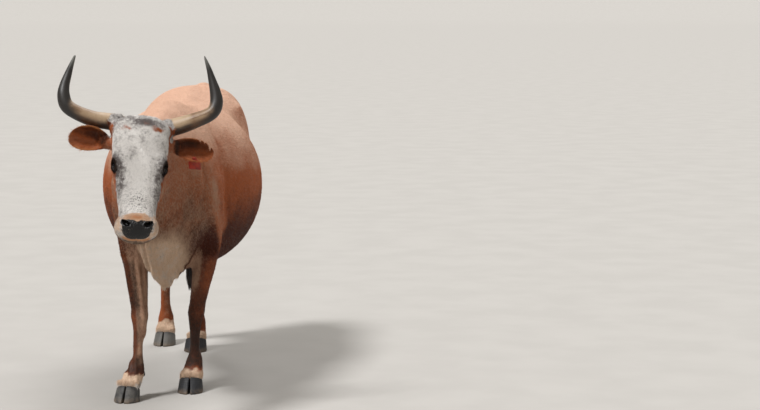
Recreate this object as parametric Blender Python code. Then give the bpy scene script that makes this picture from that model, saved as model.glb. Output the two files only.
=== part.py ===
"""A standing horned cow, life size, as a still museum model.

Metres, +Z up, the floor at z = 0. The cow faces -Y and her left side is +X.
The whole body is made as one smooth form and then parted into named pieces
by thin cuts, so that neighbours meet face to face with a gap of 0.3 mm.
"""

import math
import random

import bmesh
import bpy
from mathutils import Matrix, Vector

GAP = 0.0003
WITHERS_HEIGHT = 1.215
BARREL_HALF_WIDTH = 0.347
EYE_RADIUS = 0.0195
EAR_LENGTH = 0.153
EAR_WIDTH = 0.096
CLAW_LENGTH = 0.106
CLAW_WIDTH = 0.052
CORONET_HEIGHT = 0.062
CORONET_SLOPE = 0.42
TAIL_TIP_HEIGHT = 0.235

# The body is wide set over the hind feet: the axis drifts to her left at the rump.
TRUNK_X = -0.010
RUMP_X = 0.022

# The head hangs from the poll, with the muzzle forward of it, turned a little to her left.
POLL = Vector((-0.039, -1.050, 1.183))
FACE_SLOPE = math.radians(-32)
FACE_TURN = math.radians(8.5)
FACE_TILT = math.radians(4.2)
HEAD = (
    Matrix.Translation(POLL)
    @ Matrix.Rotation(FACE_TURN, 4, "Z")
    @ Matrix.Rotation(FACE_TILT, 4, "Y")
    @ Matrix.Rotation(FACE_SLOPE, 4, "X")
)
HEAD_CUT_Y = -0.945

BODY_VOXEL = 0.0075
HEAD_VOXEL = 0.0036
BODY_TRIANGLES = 5780
HEAD_TRIANGLES = 2740

# Heights in the trunk table are shares of the withers' height, and half widths
# are shares of the barrel's, from the nape back to the buttocks:
# y, sideways centre, top, widest level, bottom, half width, roundness above, roundness below
TRUNK = (
    (-1.015, -0.036, 0.930, 0.868, 0.735, 0.150, 2.0, 1.9),
    (-0.950, -0.034, 0.945, 0.855, 0.690, 0.225, 2.0, 1.8),
    (-0.860, -0.030, 0.945, 0.830, 0.635, 0.265, 1.9, 1.7),
    (-0.770, -0.022, 0.950, 0.790, 0.545, 0.345, 1.8, 1.6),
    (-0.690, -0.014, 0.965, 0.740, 0.440, 0.470, 1.7, 1.35),
    (-0.620, TRUNK_X, 0.980, 0.720, 0.388, 0.550, 1.7, 1.35),
    (-0.520, TRUNK_X, 0.993, 0.712, 0.392, 0.590, 1.7, 1.50),
    (-0.400, TRUNK_X, 1.000, 0.705, 0.402, 0.640, 1.7, 1.75),
    (-0.260, TRUNK_X, 0.985, 0.695, 0.398, 0.760, 1.85, 2.0),
    (-0.080, TRUNK_X, 0.972, 0.680, 0.385, 0.930, 2.0, 2.1),
    (0.100, TRUNK_X, 0.972, 0.675, 0.380, 1.000, 2.05, 2.1),
    (0.250, -0.004, 0.982, 0.690, 0.410, 0.930, 1.95, 2.0),
    (0.370, 0.008, 1.004, 0.740, 0.480, 0.760, 2.65, 1.9),
    (0.480, 0.014, 1.016, 0.780, 0.530, 0.685, 2.8, 1.9),
    (0.590, 0.020, 1.016, 0.800, 0.570, 0.600, 2.6, 1.9),
    (0.680, RUMP_X, 1.000, 0.815, 0.620, 0.450, 2.1, 1.9),
    (0.735, RUMP_X, 0.955, 0.820, 0.680, 0.280, 2.0, 2.0),
    (0.750, RUMP_X, 0.900, 0.820, 0.740, 0.120, 2.0, 2.0),
)

# The throat's loose skin: y, sideways centre, top, bottom, half width, in metres
DEWLAP = (
    (-0.985, -0.036, 0.960, 0.845, 0.012),
    (-0.930, -0.044, 0.930, 0.765, 0.017),
    (-0.860, -0.056, 0.880, 0.675, 0.021),
    (-0.790, -0.052, 0.820, 0.585, 0.026),
    (-0.730, -0.034, 0.760, 0.510, 0.034),
    (-0.670, -0.014, 0.720, 0.462, 0.042),
    (-0.600, TRUNK_X, 0.700, 0.452, 0.046),
    (-0.520, TRUNK_X, 0.660, 0.470, 0.044),
    (-0.440, TRUNK_X, 0.620, 0.490, 0.040),
)

# Head sections, as distance down the face from the poll, then depth into the head
# of the front, the widest level and the back, then half width and two roundnesses
HEAD_SECTIONS = (
    (-0.014, 0.030, 0.060, 0.095, 0.045, 2.2, 2.0),
    (0.000, 0.008, 0.055, 0.125, 0.082, 2.4, 2.0),
    (0.040, -0.008, 0.060, 0.170, 0.103, 2.6, 2.0),
    (0.100, -0.016, 0.062, 0.200, 0.106, 2.6, 1.9),
    (0.160, -0.014, 0.062, 0.215, 0.103, 2.5, 1.8),
    (0.215, -0.008, 0.062, 0.222, 0.098, 2.4, 1.7),
    (0.265, 0.000, 0.068, 0.215, 0.088, 2.3, 1.8),
    (0.320, 0.006, 0.070, 0.190, 0.078, 2.3, 1.8),
    (0.370, 0.008, 0.068, 0.158, 0.070, 2.3, 1.9),
    (0.410, 0.006, 0.064, 0.138, 0.070, 2.4, 2.0),
    (0.445, 0.010, 0.062, 0.126, 0.073, 2.5, 2.2),
    (0.466, 0.018, 0.066, 0.120, 0.065, 2.4, 2.3),
    (0.482, 0.030, 0.068, 0.108, 0.048, 2.3, 2.2),
    (0.490, 0.046, 0.070, 0.094, 0.026, 2.2, 2.0),
)

# Leg outlines by height: height, setback of the section, half width, half length fore and aft
FORELEG_SHAPE = (
    (1.120, 0.000, 0.034, 0.050),
    (1.030, 0.000, 0.058, 0.100),
    (0.930, 0.000, 0.070, 0.135),
    (0.830, 0.000, 0.074, 0.140),
    (0.740, 0.000, 0.070, 0.118),
    (0.660, 0.006, 0.062, 0.092),
    (0.580, 0.000, 0.055, 0.070),
    (0.500, 0.000, 0.0480, 0.054),
    (0.430, 0.000, 0.0405, 0.044),
    (0.375, 0.000, 0.0350, 0.0375),
    (0.335, -0.002, 0.0345, 0.0390),
    (0.295, 0.000, 0.0300, 0.0340),
    (0.250, 0.000, 0.0238, 0.0285),
    (0.190, 0.000, 0.0225, 0.0275),
    (0.155, 0.003, 0.0270, 0.0320),
    (0.125, 0.005, 0.0345, 0.0385),
    (0.095, 0.000, 0.0330, 0.0340),
    (0.070, 0.000, 0.0330, 0.0320),
)
HINDLEG_SHAPE = (
    (1.120, 0.000, 0.060, 0.150),
    (1.020, 0.000, 0.088, 0.195),
    (0.900, 0.000, 0.090, 0.215),
    (0.800, 0.000, 0.084, 0.205),
    (0.710, 0.000, 0.072, 0.165),
    (0.630, 0.000, 0.056, 0.112),
    (0.560, 0.002, 0.0430, 0.072),
    (0.505, 0.012, 0.0375, 0.0620),
    (0.455, 0.012, 0.0375, 0.0530),
    (0.405, 0.004, 0.0335, 0.0420),
    (0.350, 0.000, 0.0265, 0.0330),
    (0.280, 0.000, 0.0245, 0.0300),
    (0.200, 0.000, 0.0250, 0.0305),
    (0.160, 0.003, 0.0290, 0.0340),
    (0.128, 0.005, 0.0365, 0.0405),
    (0.095, 0.000, 0.0350, 0.0360),
    (0.070, 0.000, 0.0345, 0.0330),
)

# Centre line of each leg as it stands: height, x, y
LEG_LINES = {
    "foreleg_right": (
        (1.120, -0.092, -0.395),
        (0.950, -0.142, -0.475),
        (0.820, -0.158, -0.530),
        (0.680, -0.160, -0.490),
        (0.560, -0.147, -0.505),
        (0.338, -0.122, -0.545),
        (0.200, -0.131, -0.560),
        (0.125, -0.142, -0.566),
        (0.062, -0.163, -0.600),
        (0.000, -0.171, -0.622),
    ),
    "foreleg_left": (
        (1.120, 0.072, -0.385),
        (0.950, 0.122, -0.460),
        (0.820, 0.142, -0.505),
        (0.680, 0.147, -0.455),
        (0.560, 0.136, -0.440),
        (0.330, 0.093, -0.410),
        (0.200, 0.085, -0.395),
        (0.120, 0.081, -0.388),
        (0.062, 0.072, -0.420),
        (0.000, 0.068, -0.440),
    ),
    "hindleg_right": (
        (1.120, -0.075, 0.480),
        (0.950, -0.098, 0.485),
        (0.780, -0.118, 0.480),
        (0.660, -0.130, 0.520),
        (0.560, -0.138, 0.610),
        (0.480, -0.145, 0.672),
        (0.380, -0.155, 0.690),
        (0.250, -0.163, 0.705),
        (0.128, -0.164, 0.722),
        (0.062, -0.165, 0.690),
        (0.000, -0.167, 0.668),
    ),
    "hindleg_left": (
        (1.120, 0.125, 0.470),
        (0.950, 0.148, 0.465),
        (0.780, 0.150, 0.440),
        (0.660, 0.138, 0.455),
        (0.560, 0.102, 0.510),
        (0.480, 0.064, 0.550),
        (0.380, 0.036, 0.556),
        (0.250, 0.016, 0.556),
        (0.128, 0.004, 0.560),
        (0.062, 0.000, 0.526),
        (0.000, -0.004, 0.505),
    ),
}
TOE_OUT = {
    "foreleg_right": math.radians(-13),
    "foreleg_left": math.radians(-3),
    "hindleg_right": math.radians(-9),
    "hindleg_left": math.radians(-4),
}

# The tail hangs clear of the buttocks: x, y, z, radius
TAIL = (
    (0.028, 0.640, 1.195, 0.034),
    (0.030, 0.725, 1.190, 0.034),
    (0.026, 0.785, 1.135, 0.027),
    (0.016, 0.812, 1.040, 0.022),
    (0.002, 0.815, 0.900, 0.0185),
    (-0.014, 0.808, 0.740, 0.0160),
    (-0.028, 0.798, 0.600, 0.0140),
    (-0.036, 0.790, 0.500, 0.0125),
    (-0.040, 0.784, 0.440, 0.0090),
)
TAIL_CUT_Y = 0.772
SWITCH_TOP = 0.500
SWITCH_LOCKS = 16

# Each horn's centre line from inside the head to the tip: x, y, z, radius. The pair isn't quite even.
HORN_LINES = {
    -1: (
        (-0.1055, -0.995, 1.1427, 0.0292),
        (-0.1685, -1.012, 1.1578, 0.0302),
        (-0.2231, -1.030, 1.1679, 0.0289),
        (-0.2840, -1.044, 1.1932, 0.0262),
        (-0.3230, -1.044, 1.2207, 0.0250),
        (-0.3357, -1.034, 1.2593, 0.0226),
        (-0.3337, -1.020, 1.2958, 0.0181),
        (-0.3236, -1.008, 1.3316, 0.0141),
        (-0.3117, -1.000, 1.3676, 0.0093),
        (-0.2992, -0.994, 1.4007, 0.0045),
        (-0.2963, -0.993, 1.4077, 0.0018),
    ),
    1: (
        (0.0131, -0.975, 1.1132, 0.0303),
        (0.0604, -0.982, 1.1313, 0.0313),
        (0.1061, -0.985, 1.1441, 0.0308),
        (0.1566, -0.985, 1.1617, 0.0278),
        (0.2005, -0.980, 1.1791, 0.0253),
        (0.2246, -0.972, 1.1989, 0.0243),
        (0.2331, -0.960, 1.2297, 0.0235),
        (0.2270, -0.948, 1.2697, 0.0199),
        (0.2149, -0.938, 1.3130, 0.0142),
        (0.2041, -0.931, 1.3503, 0.0097),
        (0.1915, -0.926, 1.3858, 0.0051),
        (0.1857, -0.924, 1.4025, 0.0018),
    ),
}


def between(rows, steps):
    """The rows of numbers with steps spans between each pair, on a smooth curve through them all."""
    last = len(rows) - 1
    found = []
    for i in range(last):
        four = (rows[max(i - 1, 0)], rows[i], rows[i + 1], rows[min(i + 2, last)])
        for k in range(steps):
            t = k / steps
            found.append(
                tuple(
                    b + 0.5 * t * (c - a + t * (2 * a - 5 * b + 4 * c - d + t * (3 * (b - c) + d - a)))
                    for a, b, c, d in zip(*four)
                )
            )
    found.append(tuple(rows[last]))
    return found


def at_height(rows, height):
    """x and y of a leg's line at that height, from rows that run downwards."""
    for upper, lower in zip(rows, rows[1:]):
        if lower[0] <= height <= upper[0]:
            t = (upper[0] - height) / (upper[0] - lower[0])
            return upper[1] + t * (lower[1] - upper[1]), upper[2] + t * (lower[2] - upper[2])
    end = rows[0] if height > rows[0][0] else rows[-1]
    return end[1], end[2]


def power(value, roundness):
    return math.copysign(abs(value) ** (2 / roundness), value)


def section(top, level, bottom, half_width, round_above, round_below, count):
    """A closed outline as pairs (sideways, height): an egg of two half superellipses meeting at level."""
    pairs = []
    for k in range(count):
        angle = 2 * math.pi * k / count
        roundness = round_above if math.sin(angle) >= 0 else round_below
        reach = top - level if math.sin(angle) >= 0 else level - bottom
        pairs.append(
            (half_width * power(math.cos(angle), roundness), level + reach * power(math.sin(angle), roundness))
        )
    return pairs


def add_loft(bm, rings):
    """Joins rings of equal count into one closed shell with flat ends."""
    made = [[bm.verts.new(p) for p in ring] for ring in rings]
    count = len(made[0])
    for lower, upper in zip(made, made[1:]):
        for k in range(count):
            n = (k + 1) % count
            bm.faces.new((lower[k], lower[n], upper[n], upper[k]))
    bm.faces.new(list(reversed(made[0])))
    bm.faces.new(made[-1])


def add_ball(bm, centre, radii, turn=None, detail=2):
    """A closed ball stretched to three radii."""
    matrix = Matrix.Translation(centre) @ (turn or Matrix.Identity(4)) @ Matrix.Diagonal((*radii, 1))
    bmesh.ops.create_icosphere(bm, subdivisions=detail, radius=1, matrix=matrix)


def add_tube(bm, rows, count, squash=1.0):
    """A round tube along rows of x, y, z, radius. squash is its thickness along the row's own up."""
    rings = []
    points = [Vector(r[:3]) for r in rows]
    side = None
    for i, row in enumerate(rows):
        along = (points[min(i + 1, len(rows) - 1)] - points[max(i - 1, 0)]).normalized()
        if side is None:
            side = along.orthogonal().normalized()
        side = (side - along * side.dot(along)).normalized()
        up = along.cross(side)
        rings.append(
            [
                points[i]
                + side * (row[3] * math.cos(2 * math.pi * k / count))
                + up * (row[3] * squash * math.sin(2 * math.pi * k / count))
                for k in range(count)
            ]
        )
    add_loft(bm, rings)


def new_object(name, bm, material=None):
    """Puts a finished bmesh into the scene, facing out."""
    bmesh.ops.recalc_face_normals(bm, faces=bm.faces)
    mesh = bpy.data.meshes.new(name)
    bm.to_mesh(mesh)
    bm.free()
    obj = bpy.data.objects.new(name, mesh)
    bpy.context.scene.collection.objects.link(obj)
    if material:
        mesh.materials.append(material)
    return obj


def settle(obj):
    """Applies the object's modifiers."""
    graph = bpy.context.evaluated_depsgraph_get()
    mesh = bpy.data.meshes.new_from_object(obj.evaluated_get(graph))
    obj.modifiers.clear()
    obj.data = mesh


def drop(obj):
    bpy.data.objects.remove(obj)


def fuse(obj, voxel, smoothing):
    """Makes overlapping closed shells one smooth closed skin."""
    remesh = obj.modifiers.new("fuse", "REMESH")
    remesh.mode = "VOXEL"
    remesh.voxel_size = voxel
    smooth = obj.modifiers.new("soften", "SMOOTH")
    smooth.factor = 0.5
    smooth.iterations = smoothing
    settle(obj)


def thin(obj, triangles):
    """Keeps the form with about that many triangles."""
    faces = sum(len(p.vertices) - 2 for p in obj.data.polygons)
    decimate = obj.modifiers.new("thin", "DECIMATE")
    decimate.ratio = triangles / faces
    decimate.use_collapse_triangulate = True
    settle(obj)


def swell(obj, spots):
    """Moves the skin in or out round each spot: centre, reach, push."""
    for centre, reach, push in spots:
        for vertex in obj.data.vertices:
            distance = (vertex.co - centre).length / reach
            if distance < 2.2:
                vertex.co += push * math.exp(-distance * distance * 1.5)


def cut(obj, cutter, operation="DIFFERENCE", keep_cutter=False):
    """Cuts obj by cutter, or keeps only what they share."""
    boolean = obj.modifiers.new("cut", "BOOLEAN")
    boolean.operation = operation
    boolean.solver = "EXACT"
    boolean.object = cutter
    settle(obj)
    if not keep_cutter:
        drop(cutter)


def largest_only(obj):
    """Keeps only the largest closed surface of obj, by its count of faces."""
    bm = bmesh.new()
    bm.from_mesh(obj.data)
    unseen = set(bm.faces)
    shells = []
    while unseen:
        stack = [unseen.pop()]
        shell = []
        while stack:
            face = stack.pop()
            shell.append(face)
            for edge in face.edges:
                for other in edge.link_faces:
                    if other in unseen:
                        unseen.remove(other)
                        stack.append(other)
        shells.append(shell)
    shells.sort(key=len)
    for shell in shells[:-1]:
        bmesh.ops.delete(bm, geom=shell, context="FACES")
    bm.to_mesh(obj.data)
    bm.free()


def copy_of(obj, name, material=None):
    twin = obj.copy()
    twin.data = obj.data.copy()
    twin.name = name
    bpy.context.scene.collection.objects.link(twin)
    if material:
        twin.data.materials.clear()
        twin.data.materials.append(material)
    return twin


def material(name, colour, roughness):
    made = bpy.data.materials.new(name)
    made.use_nodes = True
    shader = made.node_tree.nodes["Principled BSDF"]
    shader.inputs["Base Color"].default_value = (*colour, 1)
    shader.inputs["Roughness"].default_value = roughness
    return made


def head_point(sideways, down, depth):
    """A point of the face's frame: sideways to her left, down the face from the poll, depth into the head."""
    return HEAD @ Vector((sideways, depth, -down))


def add_trunk(bm, back_to=1.0):
    """The trunk and neck as one loft, from the nape back to the y of back_to."""
    rings = []
    for y, x, top, level, bottom, half, above, below in between(TRUNK, 4):
        if y > back_to:
            break
        outline = section(
            top * WITHERS_HEIGHT,
            level * WITHERS_HEIGHT,
            bottom * WITHERS_HEIGHT,
            half * BARREL_HALF_WIDTH,
            above,
            below,
            40,
        )
        rings.append([Vector((x + side, y, height)) for side, height in outline])
    add_loft(bm, rings)


def add_dewlap(bm, back_to=1.0):
    rings = []
    for y, x, top, bottom, half in between(DEWLAP, 4):
        if y > back_to:
            break
        outline = section(top, (top + bottom) / 2, bottom, half, 2.0, 1.6, 20)
        rings.append([Vector((x + side, y, height)) for side, height in outline])
    add_loft(bm, rings)


def add_leg(bm, name):
    line = between(LEG_LINES[name], 6)
    shape = FORELEG_SHAPE if "fore" in name else HINDLEG_SHAPE
    rings = []
    for height, setback, half_width, half_length in between(shape, 3):
        x, y = at_height(line, height)
        rings.append(
            [
                Vector(
                    (
                        x + half_width * math.cos(2 * math.pi * k / 24),
                        y + setback + half_length * math.sin(2 * math.pi * k / 24),
                        height,
                    )
                )
                for k in range(24)
            ]
        )
    add_loft(bm, rings)
    add_digits(bm, name)


def foot_frame(name):
    """The sole's centre on the floor, with -Y towards the toe."""
    _, x, y = LEG_LINES[name][-1]
    return Matrix.Translation((x, y, 0)) @ Matrix.Rotation(TOE_OUT[name], 4, "Z")


def add_digits(bm, name):
    """The two fleshy toes between the fetlock and the claws."""
    frame = foot_frame(name)
    _, fetlock_x, fetlock_y = LEG_LINES[name][-3]
    fetlock = frame.inverted() @ Vector((fetlock_x, fetlock_y, 0))
    for side in (-1, 1):
        rows = (
            (fetlock.x + side * 0.012, fetlock.y, 0.115, 0.026),
            (fetlock.x * 0.5 + side * 0.019, fetlock.y * 0.5 + 0.011, 0.080, 0.0265),
            (side * 0.0235, 0.020, 0.052, 0.0270),
            (side * 0.0240, 0.016, 0.020, 0.0270),
        )
        placed = [(*(frame @ Vector(r[:3])), r[3]) for r in between(rows, 3)]
        add_tube(bm, placed, 14)


def add_udder(bm):
    add_ball(bm, Vector((0.000, 0.335, 0.565)), (0.075, 0.100, 0.070))
    for side in (-1, 1):
        for y in (0.295, 0.370):
            rows = ((side * 0.036, y, 0.540, 0.013), (side * 0.038, y, 0.490, 0.0115), (side * 0.038, y, 0.474, 0.007))
            add_tube(bm, between(rows, 3), 10)


def add_hips(bm):
    for side in (-1, 1):
        add_ball(bm, Vector((RUMP_X - 0.004 + side * 0.160, 0.390, 1.124)), (0.060, 0.085, 0.048))
        add_ball(bm, Vector((RUMP_X + side * 0.080, 0.690, 1.075)), (0.050, 0.050, 0.055))
    add_ball(bm, Vector((0.032, 0.650, 1.206)), (0.046, 0.080, 0.045))
    spine = (
        (TRUNK_X, -0.45, 1.165, 0.045),
        (TRUNK_X, 0.0, 1.135, 0.040),
        (0.018, 0.45, 1.190, 0.045),
        (RUMP_X, 0.68, 1.175, 0.040),
    )
    add_tube(bm, between(spine, 6), 12)
    add_tube(bm, between(TAIL[:4], 4), 14)


def add_head(bm):
    rings = []
    for down, front, level, back, half, above, below in between(HEAD_SECTIONS, 4):
        outline = section(-front, -level, -back, half, above, below, 36)
        rings.append([head_point(side, down, -depth) for side, depth in outline])
    add_loft(bm, rings)
    turn = HEAD.to_3x3().to_4x4()
    for side in (-1, 1):
        add_ball(bm, eye_centre(side), (EYE_RADIUS + 0.0065,) * 3, turn, 3)
        add_ball(bm, head_point(side * 0.0735, 0.191, 0.036), (0.031, 0.038, 0.044), turn)
        add_ball(bm, head_point(side * 0.060, 0.215, 0.140), (0.037, 0.062, 0.088), turn)
        add_ball(bm, head_point(side * 0.046, 0.438, 0.064), (0.036, 0.046, 0.044), turn)
        add_ball(bm, head_point(side * 0.040, 0.446, 0.034), (0.026, 0.024, 0.030), turn)
        add_ball(bm, head_point(side * 0.078, 0.040, 0.052), (0.040, 0.040, 0.038), turn)
        stump = (
            (*head_point(side * 0.070, 0.082, 0.085), 0.034),
            (*head_point(side * 0.108, 0.078, 0.088), 0.027),
            (*ear_root(side), EAR_ROOT_RADIUS),
            (*(ear_root(side) + ear_way(side) * 0.020), EAR_ROOT_RADIUS),
        )
        add_tube(bm, between(stump, 3), 16)
    add_ball(bm, head_point(0, 0.432, 0.110), (0.045, 0.030, 0.046), turn)
    add_ball(bm, head_point(0, 0.020, 0.060), (0.075, 0.050, 0.045), turn)


EAR_ROOT_RADIUS = 0.0235
EAR_LIFT = {-1: math.radians(21), 1: math.radians(-3)}
EAR_FORWARD = {-1: math.radians(16), 1: math.radians(10)}


def ear_root(side):
    return head_point(side * 0.126, 0.074, 0.088)


def ear_way(side):
    """The direction in which that ear stands out from the head."""
    lift, forward = EAR_LIFT[side], EAR_FORWARD[side]
    return Vector((side * math.cos(lift) * math.cos(forward), -math.sin(forward), math.sin(lift))).normalized()


def ear_frame(side):
    """Root, way out, face of the cup and the ear's own up."""
    way = ear_way(side)
    roll = math.radians(8 if side < 0 else 20)
    face = Vector((0, -math.cos(roll), -math.sin(roll)))
    face = (face - way * face.dot(way)).normalized()
    return ear_root(side), way, face, way.cross(face) * -side


def ear_profile(share):
    """Half width of the ear as a share of its greatest, from root to tip."""
    rise = 0.52 + 0.48 * math.sin(min(share / 0.55, 1) * math.pi / 2)
    fall = 1.0 if share < 0.55 else math.sqrt(max(0.0, 1 - ((share - 0.55) / 0.455) ** 2.4))
    return rise * fall


def make_ear(side, name, colour):
    """A cupped leaf, full at its root and hollow beyond, with walls as thick as a real ear's."""
    root, way, face, up = ear_frame(side)
    steps = 12
    arc = 8
    rings = []
    for i in range(steps + 1):
        share = i / steps
        half = EAR_WIDTH / 2 * ear_profile(share)
        open_share = min(1.0, max(0.0, (share - 0.06) / 0.30))
        curl = math.radians(86 - 40 * share)
        radius = half / math.sin(curl)
        wall = 0.0068 - 0.0034 * share
        droop = -0.016 * share * share
        middle = root + way * (GAP + share * EAR_LENGTH) + up * droop
        outer = []
        inner = []
        for k in range(arc + 1):
            swing = curl * (2 * k / arc - 1)
            rim = radius * (1 - math.cos(curl))
            outer_depth = radius * (1 - math.cos(swing)) - rim * 0.5
            outer.append(middle + up * (radius * math.sin(swing)) + face * outer_depth)
            hollow_depth = outer_depth + wall * (0.55 + 0.45 * math.cos(swing * 0.9))
            full_depth = rim * 0.5 + wall * 0.4 + 0.006 * math.cos(swing / curl * math.pi / 2) * (1 - share)
            depth = full_depth + (hollow_depth - full_depth) * open_share
            narrow = 1 - 0.10 * (1 - open_share) - wall * 0.35 / max(half, 0.004)
            inner.append(middle + up * (radius * math.sin(swing) * max(narrow, 0.55)) + face * depth)
        rings.append(outer + list(reversed(inner)))
    bm = bmesh.new()
    add_loft(bm, rings)
    ear = new_object(name, bm, colour)
    if side > 0:
        notch_ear(ear, root, way, face, up)
    return ear


def notch_ear(ear, root, way, face, up):
    """The worn edge of her left ear: three notches near the tip."""
    for along, across, size, turn in ((0.74, 0.042, 0.020, 90), (0.91, 0.026, 0.015, 75), (1.05, -0.010, 0.020, 170)):
        bm = bmesh.new()
        bmesh.ops.create_cone(bm, segments=3, radius1=size, radius2=size, depth=0.12, cap_ends=True)
        axes = Matrix((up, way, face)).transposed().to_4x4()
        place = Matrix.Translation(root + way * (along * EAR_LENGTH) + up * across)
        bm.transform(place @ axes @ Matrix.Rotation(math.radians(turn), 4, "Z"))
        cut(ear, new_object("notch", bm))
    largest_only(ear)


def tag_leaf(name, spare):
    """The plain tag's leaf with its narrow neck, grown by spare all round."""
    root, way, face, up = ear_frame(1)
    centre = root + way * (EAR_LENGTH * 0.54) + up * -0.050 + face * 0.012
    outline = (
        (-0.023, -0.030), (0.023, -0.030), (0.025, 0.004), (0.010, 0.012),
        (0.008, 0.022), (-0.008, 0.022), (-0.010, 0.012), (-0.025, 0.004),
    )
    grow = 1 + spare / 0.008
    bm = bmesh.new()
    sheet = []
    for depth in (-0.0012 - spare, 0.0012 + spare):
        sheet.append([centre + way * (x * grow) + up * (y * grow - 0.006) + face * depth for x, y in outline])
    add_loft(bm, sheet)
    return new_object(name, bm)


def make_tag(ear, colour):
    """Hangs the tag in her left ear, in a slot through the ear's lower edge."""
    cut(ear, tag_leaf("slot", GAP))
    largest_only(ear)
    tag_leaf("ear_tag", 0.0).data.materials.append(colour)


def horn_rows(side, extra=0.0):
    """The horn's line with extra added to each radius."""
    return [(x, y, z, radius + extra) for x, y, z, radius in between(HORN_LINES[side], 3)]


def make_horn(side, name, colour):
    bm = bmesh.new()
    add_tube(bm, horn_rows(side), 10)
    return new_object(name, bm, colour)


def eye_centre(side):
    return head_point(side * 0.0790, 0.206, 0.038)


def eye_way(side):
    """Where that eye looks: mostly outwards, a little forwards."""
    return (HEAD.to_3x3() @ Vector((side * 0.74, -0.67, -0.08))).normalized()


def carve_eyes(head):
    """Opens the lids over each eyeball by a pointed slit and hollows the head for the ball."""
    for side in (-1, 1):
        centre, way = eye_centre(side), eye_way(side)
        turn = way.to_track_quat("Z", "Y").to_matrix().to_4x4()
        slit = bmesh.new()
        down = -(HEAD.to_3x3() @ Vector((0, 0, 1)))
        across = (down - way * down.dot(way)).normalized()
        over = way.cross(across)
        rings = []
        for reach in (0.010, 0.040):
            ring = []
            for k in range(16):
                angle = 2 * math.pi * k / 16
                long = 0.0170 * math.cos(angle)
                high = 0.0118 * power(math.sin(angle), 1.6)
                ring.append(centre + way * reach + across * long + over * high)
            rings.append(ring)
        add_loft(slit, rings)
        cut(head, new_object("slit", slit))
        socket = bmesh.new()
        bmesh.ops.create_uvsphere(
            socket, u_segments=16, v_segments=9, radius=EYE_RADIUS + 2 * GAP, matrix=Matrix.Translation(centre) @ turn
        )
        cut(head, new_object("socket", socket))


def make_eye(side, name, colour):
    bm = bmesh.new()
    turn = eye_way(side).to_track_quat("Z", "Y").to_matrix().to_4x4()
    bmesh.ops.create_uvsphere(
        bm, u_segments=16, v_segments=9, radius=EYE_RADIUS, matrix=Matrix.Translation(eye_centre(side)) @ turn
    )
    return new_object(name, bm, colour)


def on_skin(head, sideways, down, depth, inside):
    """Where the head's skin is met on the way from a point outside it to a point inside, in the face's frame."""
    start, end = head_point(sideways, down, depth), head_point(*inside)
    hit, place, _, _ = head.ray_cast(start, (end - start).normalized())
    return place if hit else start


def carve_nostrils(head):
    """Each nostril is a comma that runs up and out from the corner of the nose pad."""
    turn = HEAD.to_3x3().to_4x4()
    for side in (-1, 1):
        for sideways, down, radii, lean in (
            (0.046, 0.446, (0.0100, 0.0130, 0.0200), 58),
            (0.058, 0.433, (0.0065, 0.0110, 0.0160), 25),
        ):
            place = on_skin(head, side * sideways, down, -0.10, (side * sideways * 0.8, down - 0.02, 0.06))
            bm = bmesh.new()
            add_ball(bm, place, radii, turn @ Matrix.Rotation(math.radians(side * lean), 4, "Y"))
            cut(head, new_object("nostril", bm))


def carve_mouth(head):
    """The mouth's line, a groove from the front of the lips back to the corner on each side."""
    line = (
        (-0.004, 0.560, 0.104, 0.0030),
        (0.030, 0.550, 0.103, 0.0032),
        (0.075, 0.520, 0.101, 0.0034),
        (0.110, 0.465, 0.099, 0.0034),
        (0.120, 0.420, 0.099, 0.0032),
        (0.120, 0.385, 0.102, 0.0030),
        (0.120, 0.352, 0.108, 0.0022),
    )
    for side in (-1, 1):
        rows = []
        for sideways, down, depth, radius in line:
            centre_down = min(down - 0.01, 0.44)
            place = on_skin(head, side * sideways, down, depth, (0, centre_down, depth - 0.010))
            rows.append((*place, radius))
        bm = bmesh.new()
        add_tube(bm, rows, 6)
        cut(head, new_object("lip_line", bm))


def half_space(name, axis, position, beyond):
    """A large block that covers everything on one side of a plane across an axis."""
    bm = bmesh.new()
    size = 3.0
    centre = Vector((0, 0, 0.6))
    centre[axis] = position + (size / 2 if beyond else -size / 2)
    bmesh.ops.create_cube(bm, size=size, matrix=Matrix.Translation(centre))
    return new_object(name, bm)


def prism(name, outline, start, end, axis):
    """A block with an outline of (first, second) coordinates, run along the axis from start to end."""
    rings = []
    for place in (start, end):
        ring = []
        for first, second in outline:
            point = [first, second]
            point.insert(axis, place)
            ring.append(Vector(point))
        rings.append(ring)
    bm = bmesh.new()
    add_loft(bm, rings)
    return new_object(name, bm)


NECK_CUT = (Vector((0, -0.520, 1.200)), Vector((0, -0.765, 0.600)))


def shoulder_prism(name, spare):
    """Everything behind the slanting cut between neck and trunk, less spare."""
    top, low = NECK_CUT
    way = (top - low).normalized()
    off = Vector((0, way.z, -way.y)) * spare
    high, deep = top + way * 0.6 + off, low - way * 1.3 + off
    outline = ((high.y, high.z), (deep.y, deep.z), (2.0, deep.z), (2.0, high.z))
    return prism(name, outline, -1.0, 1.0, 0)


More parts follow.
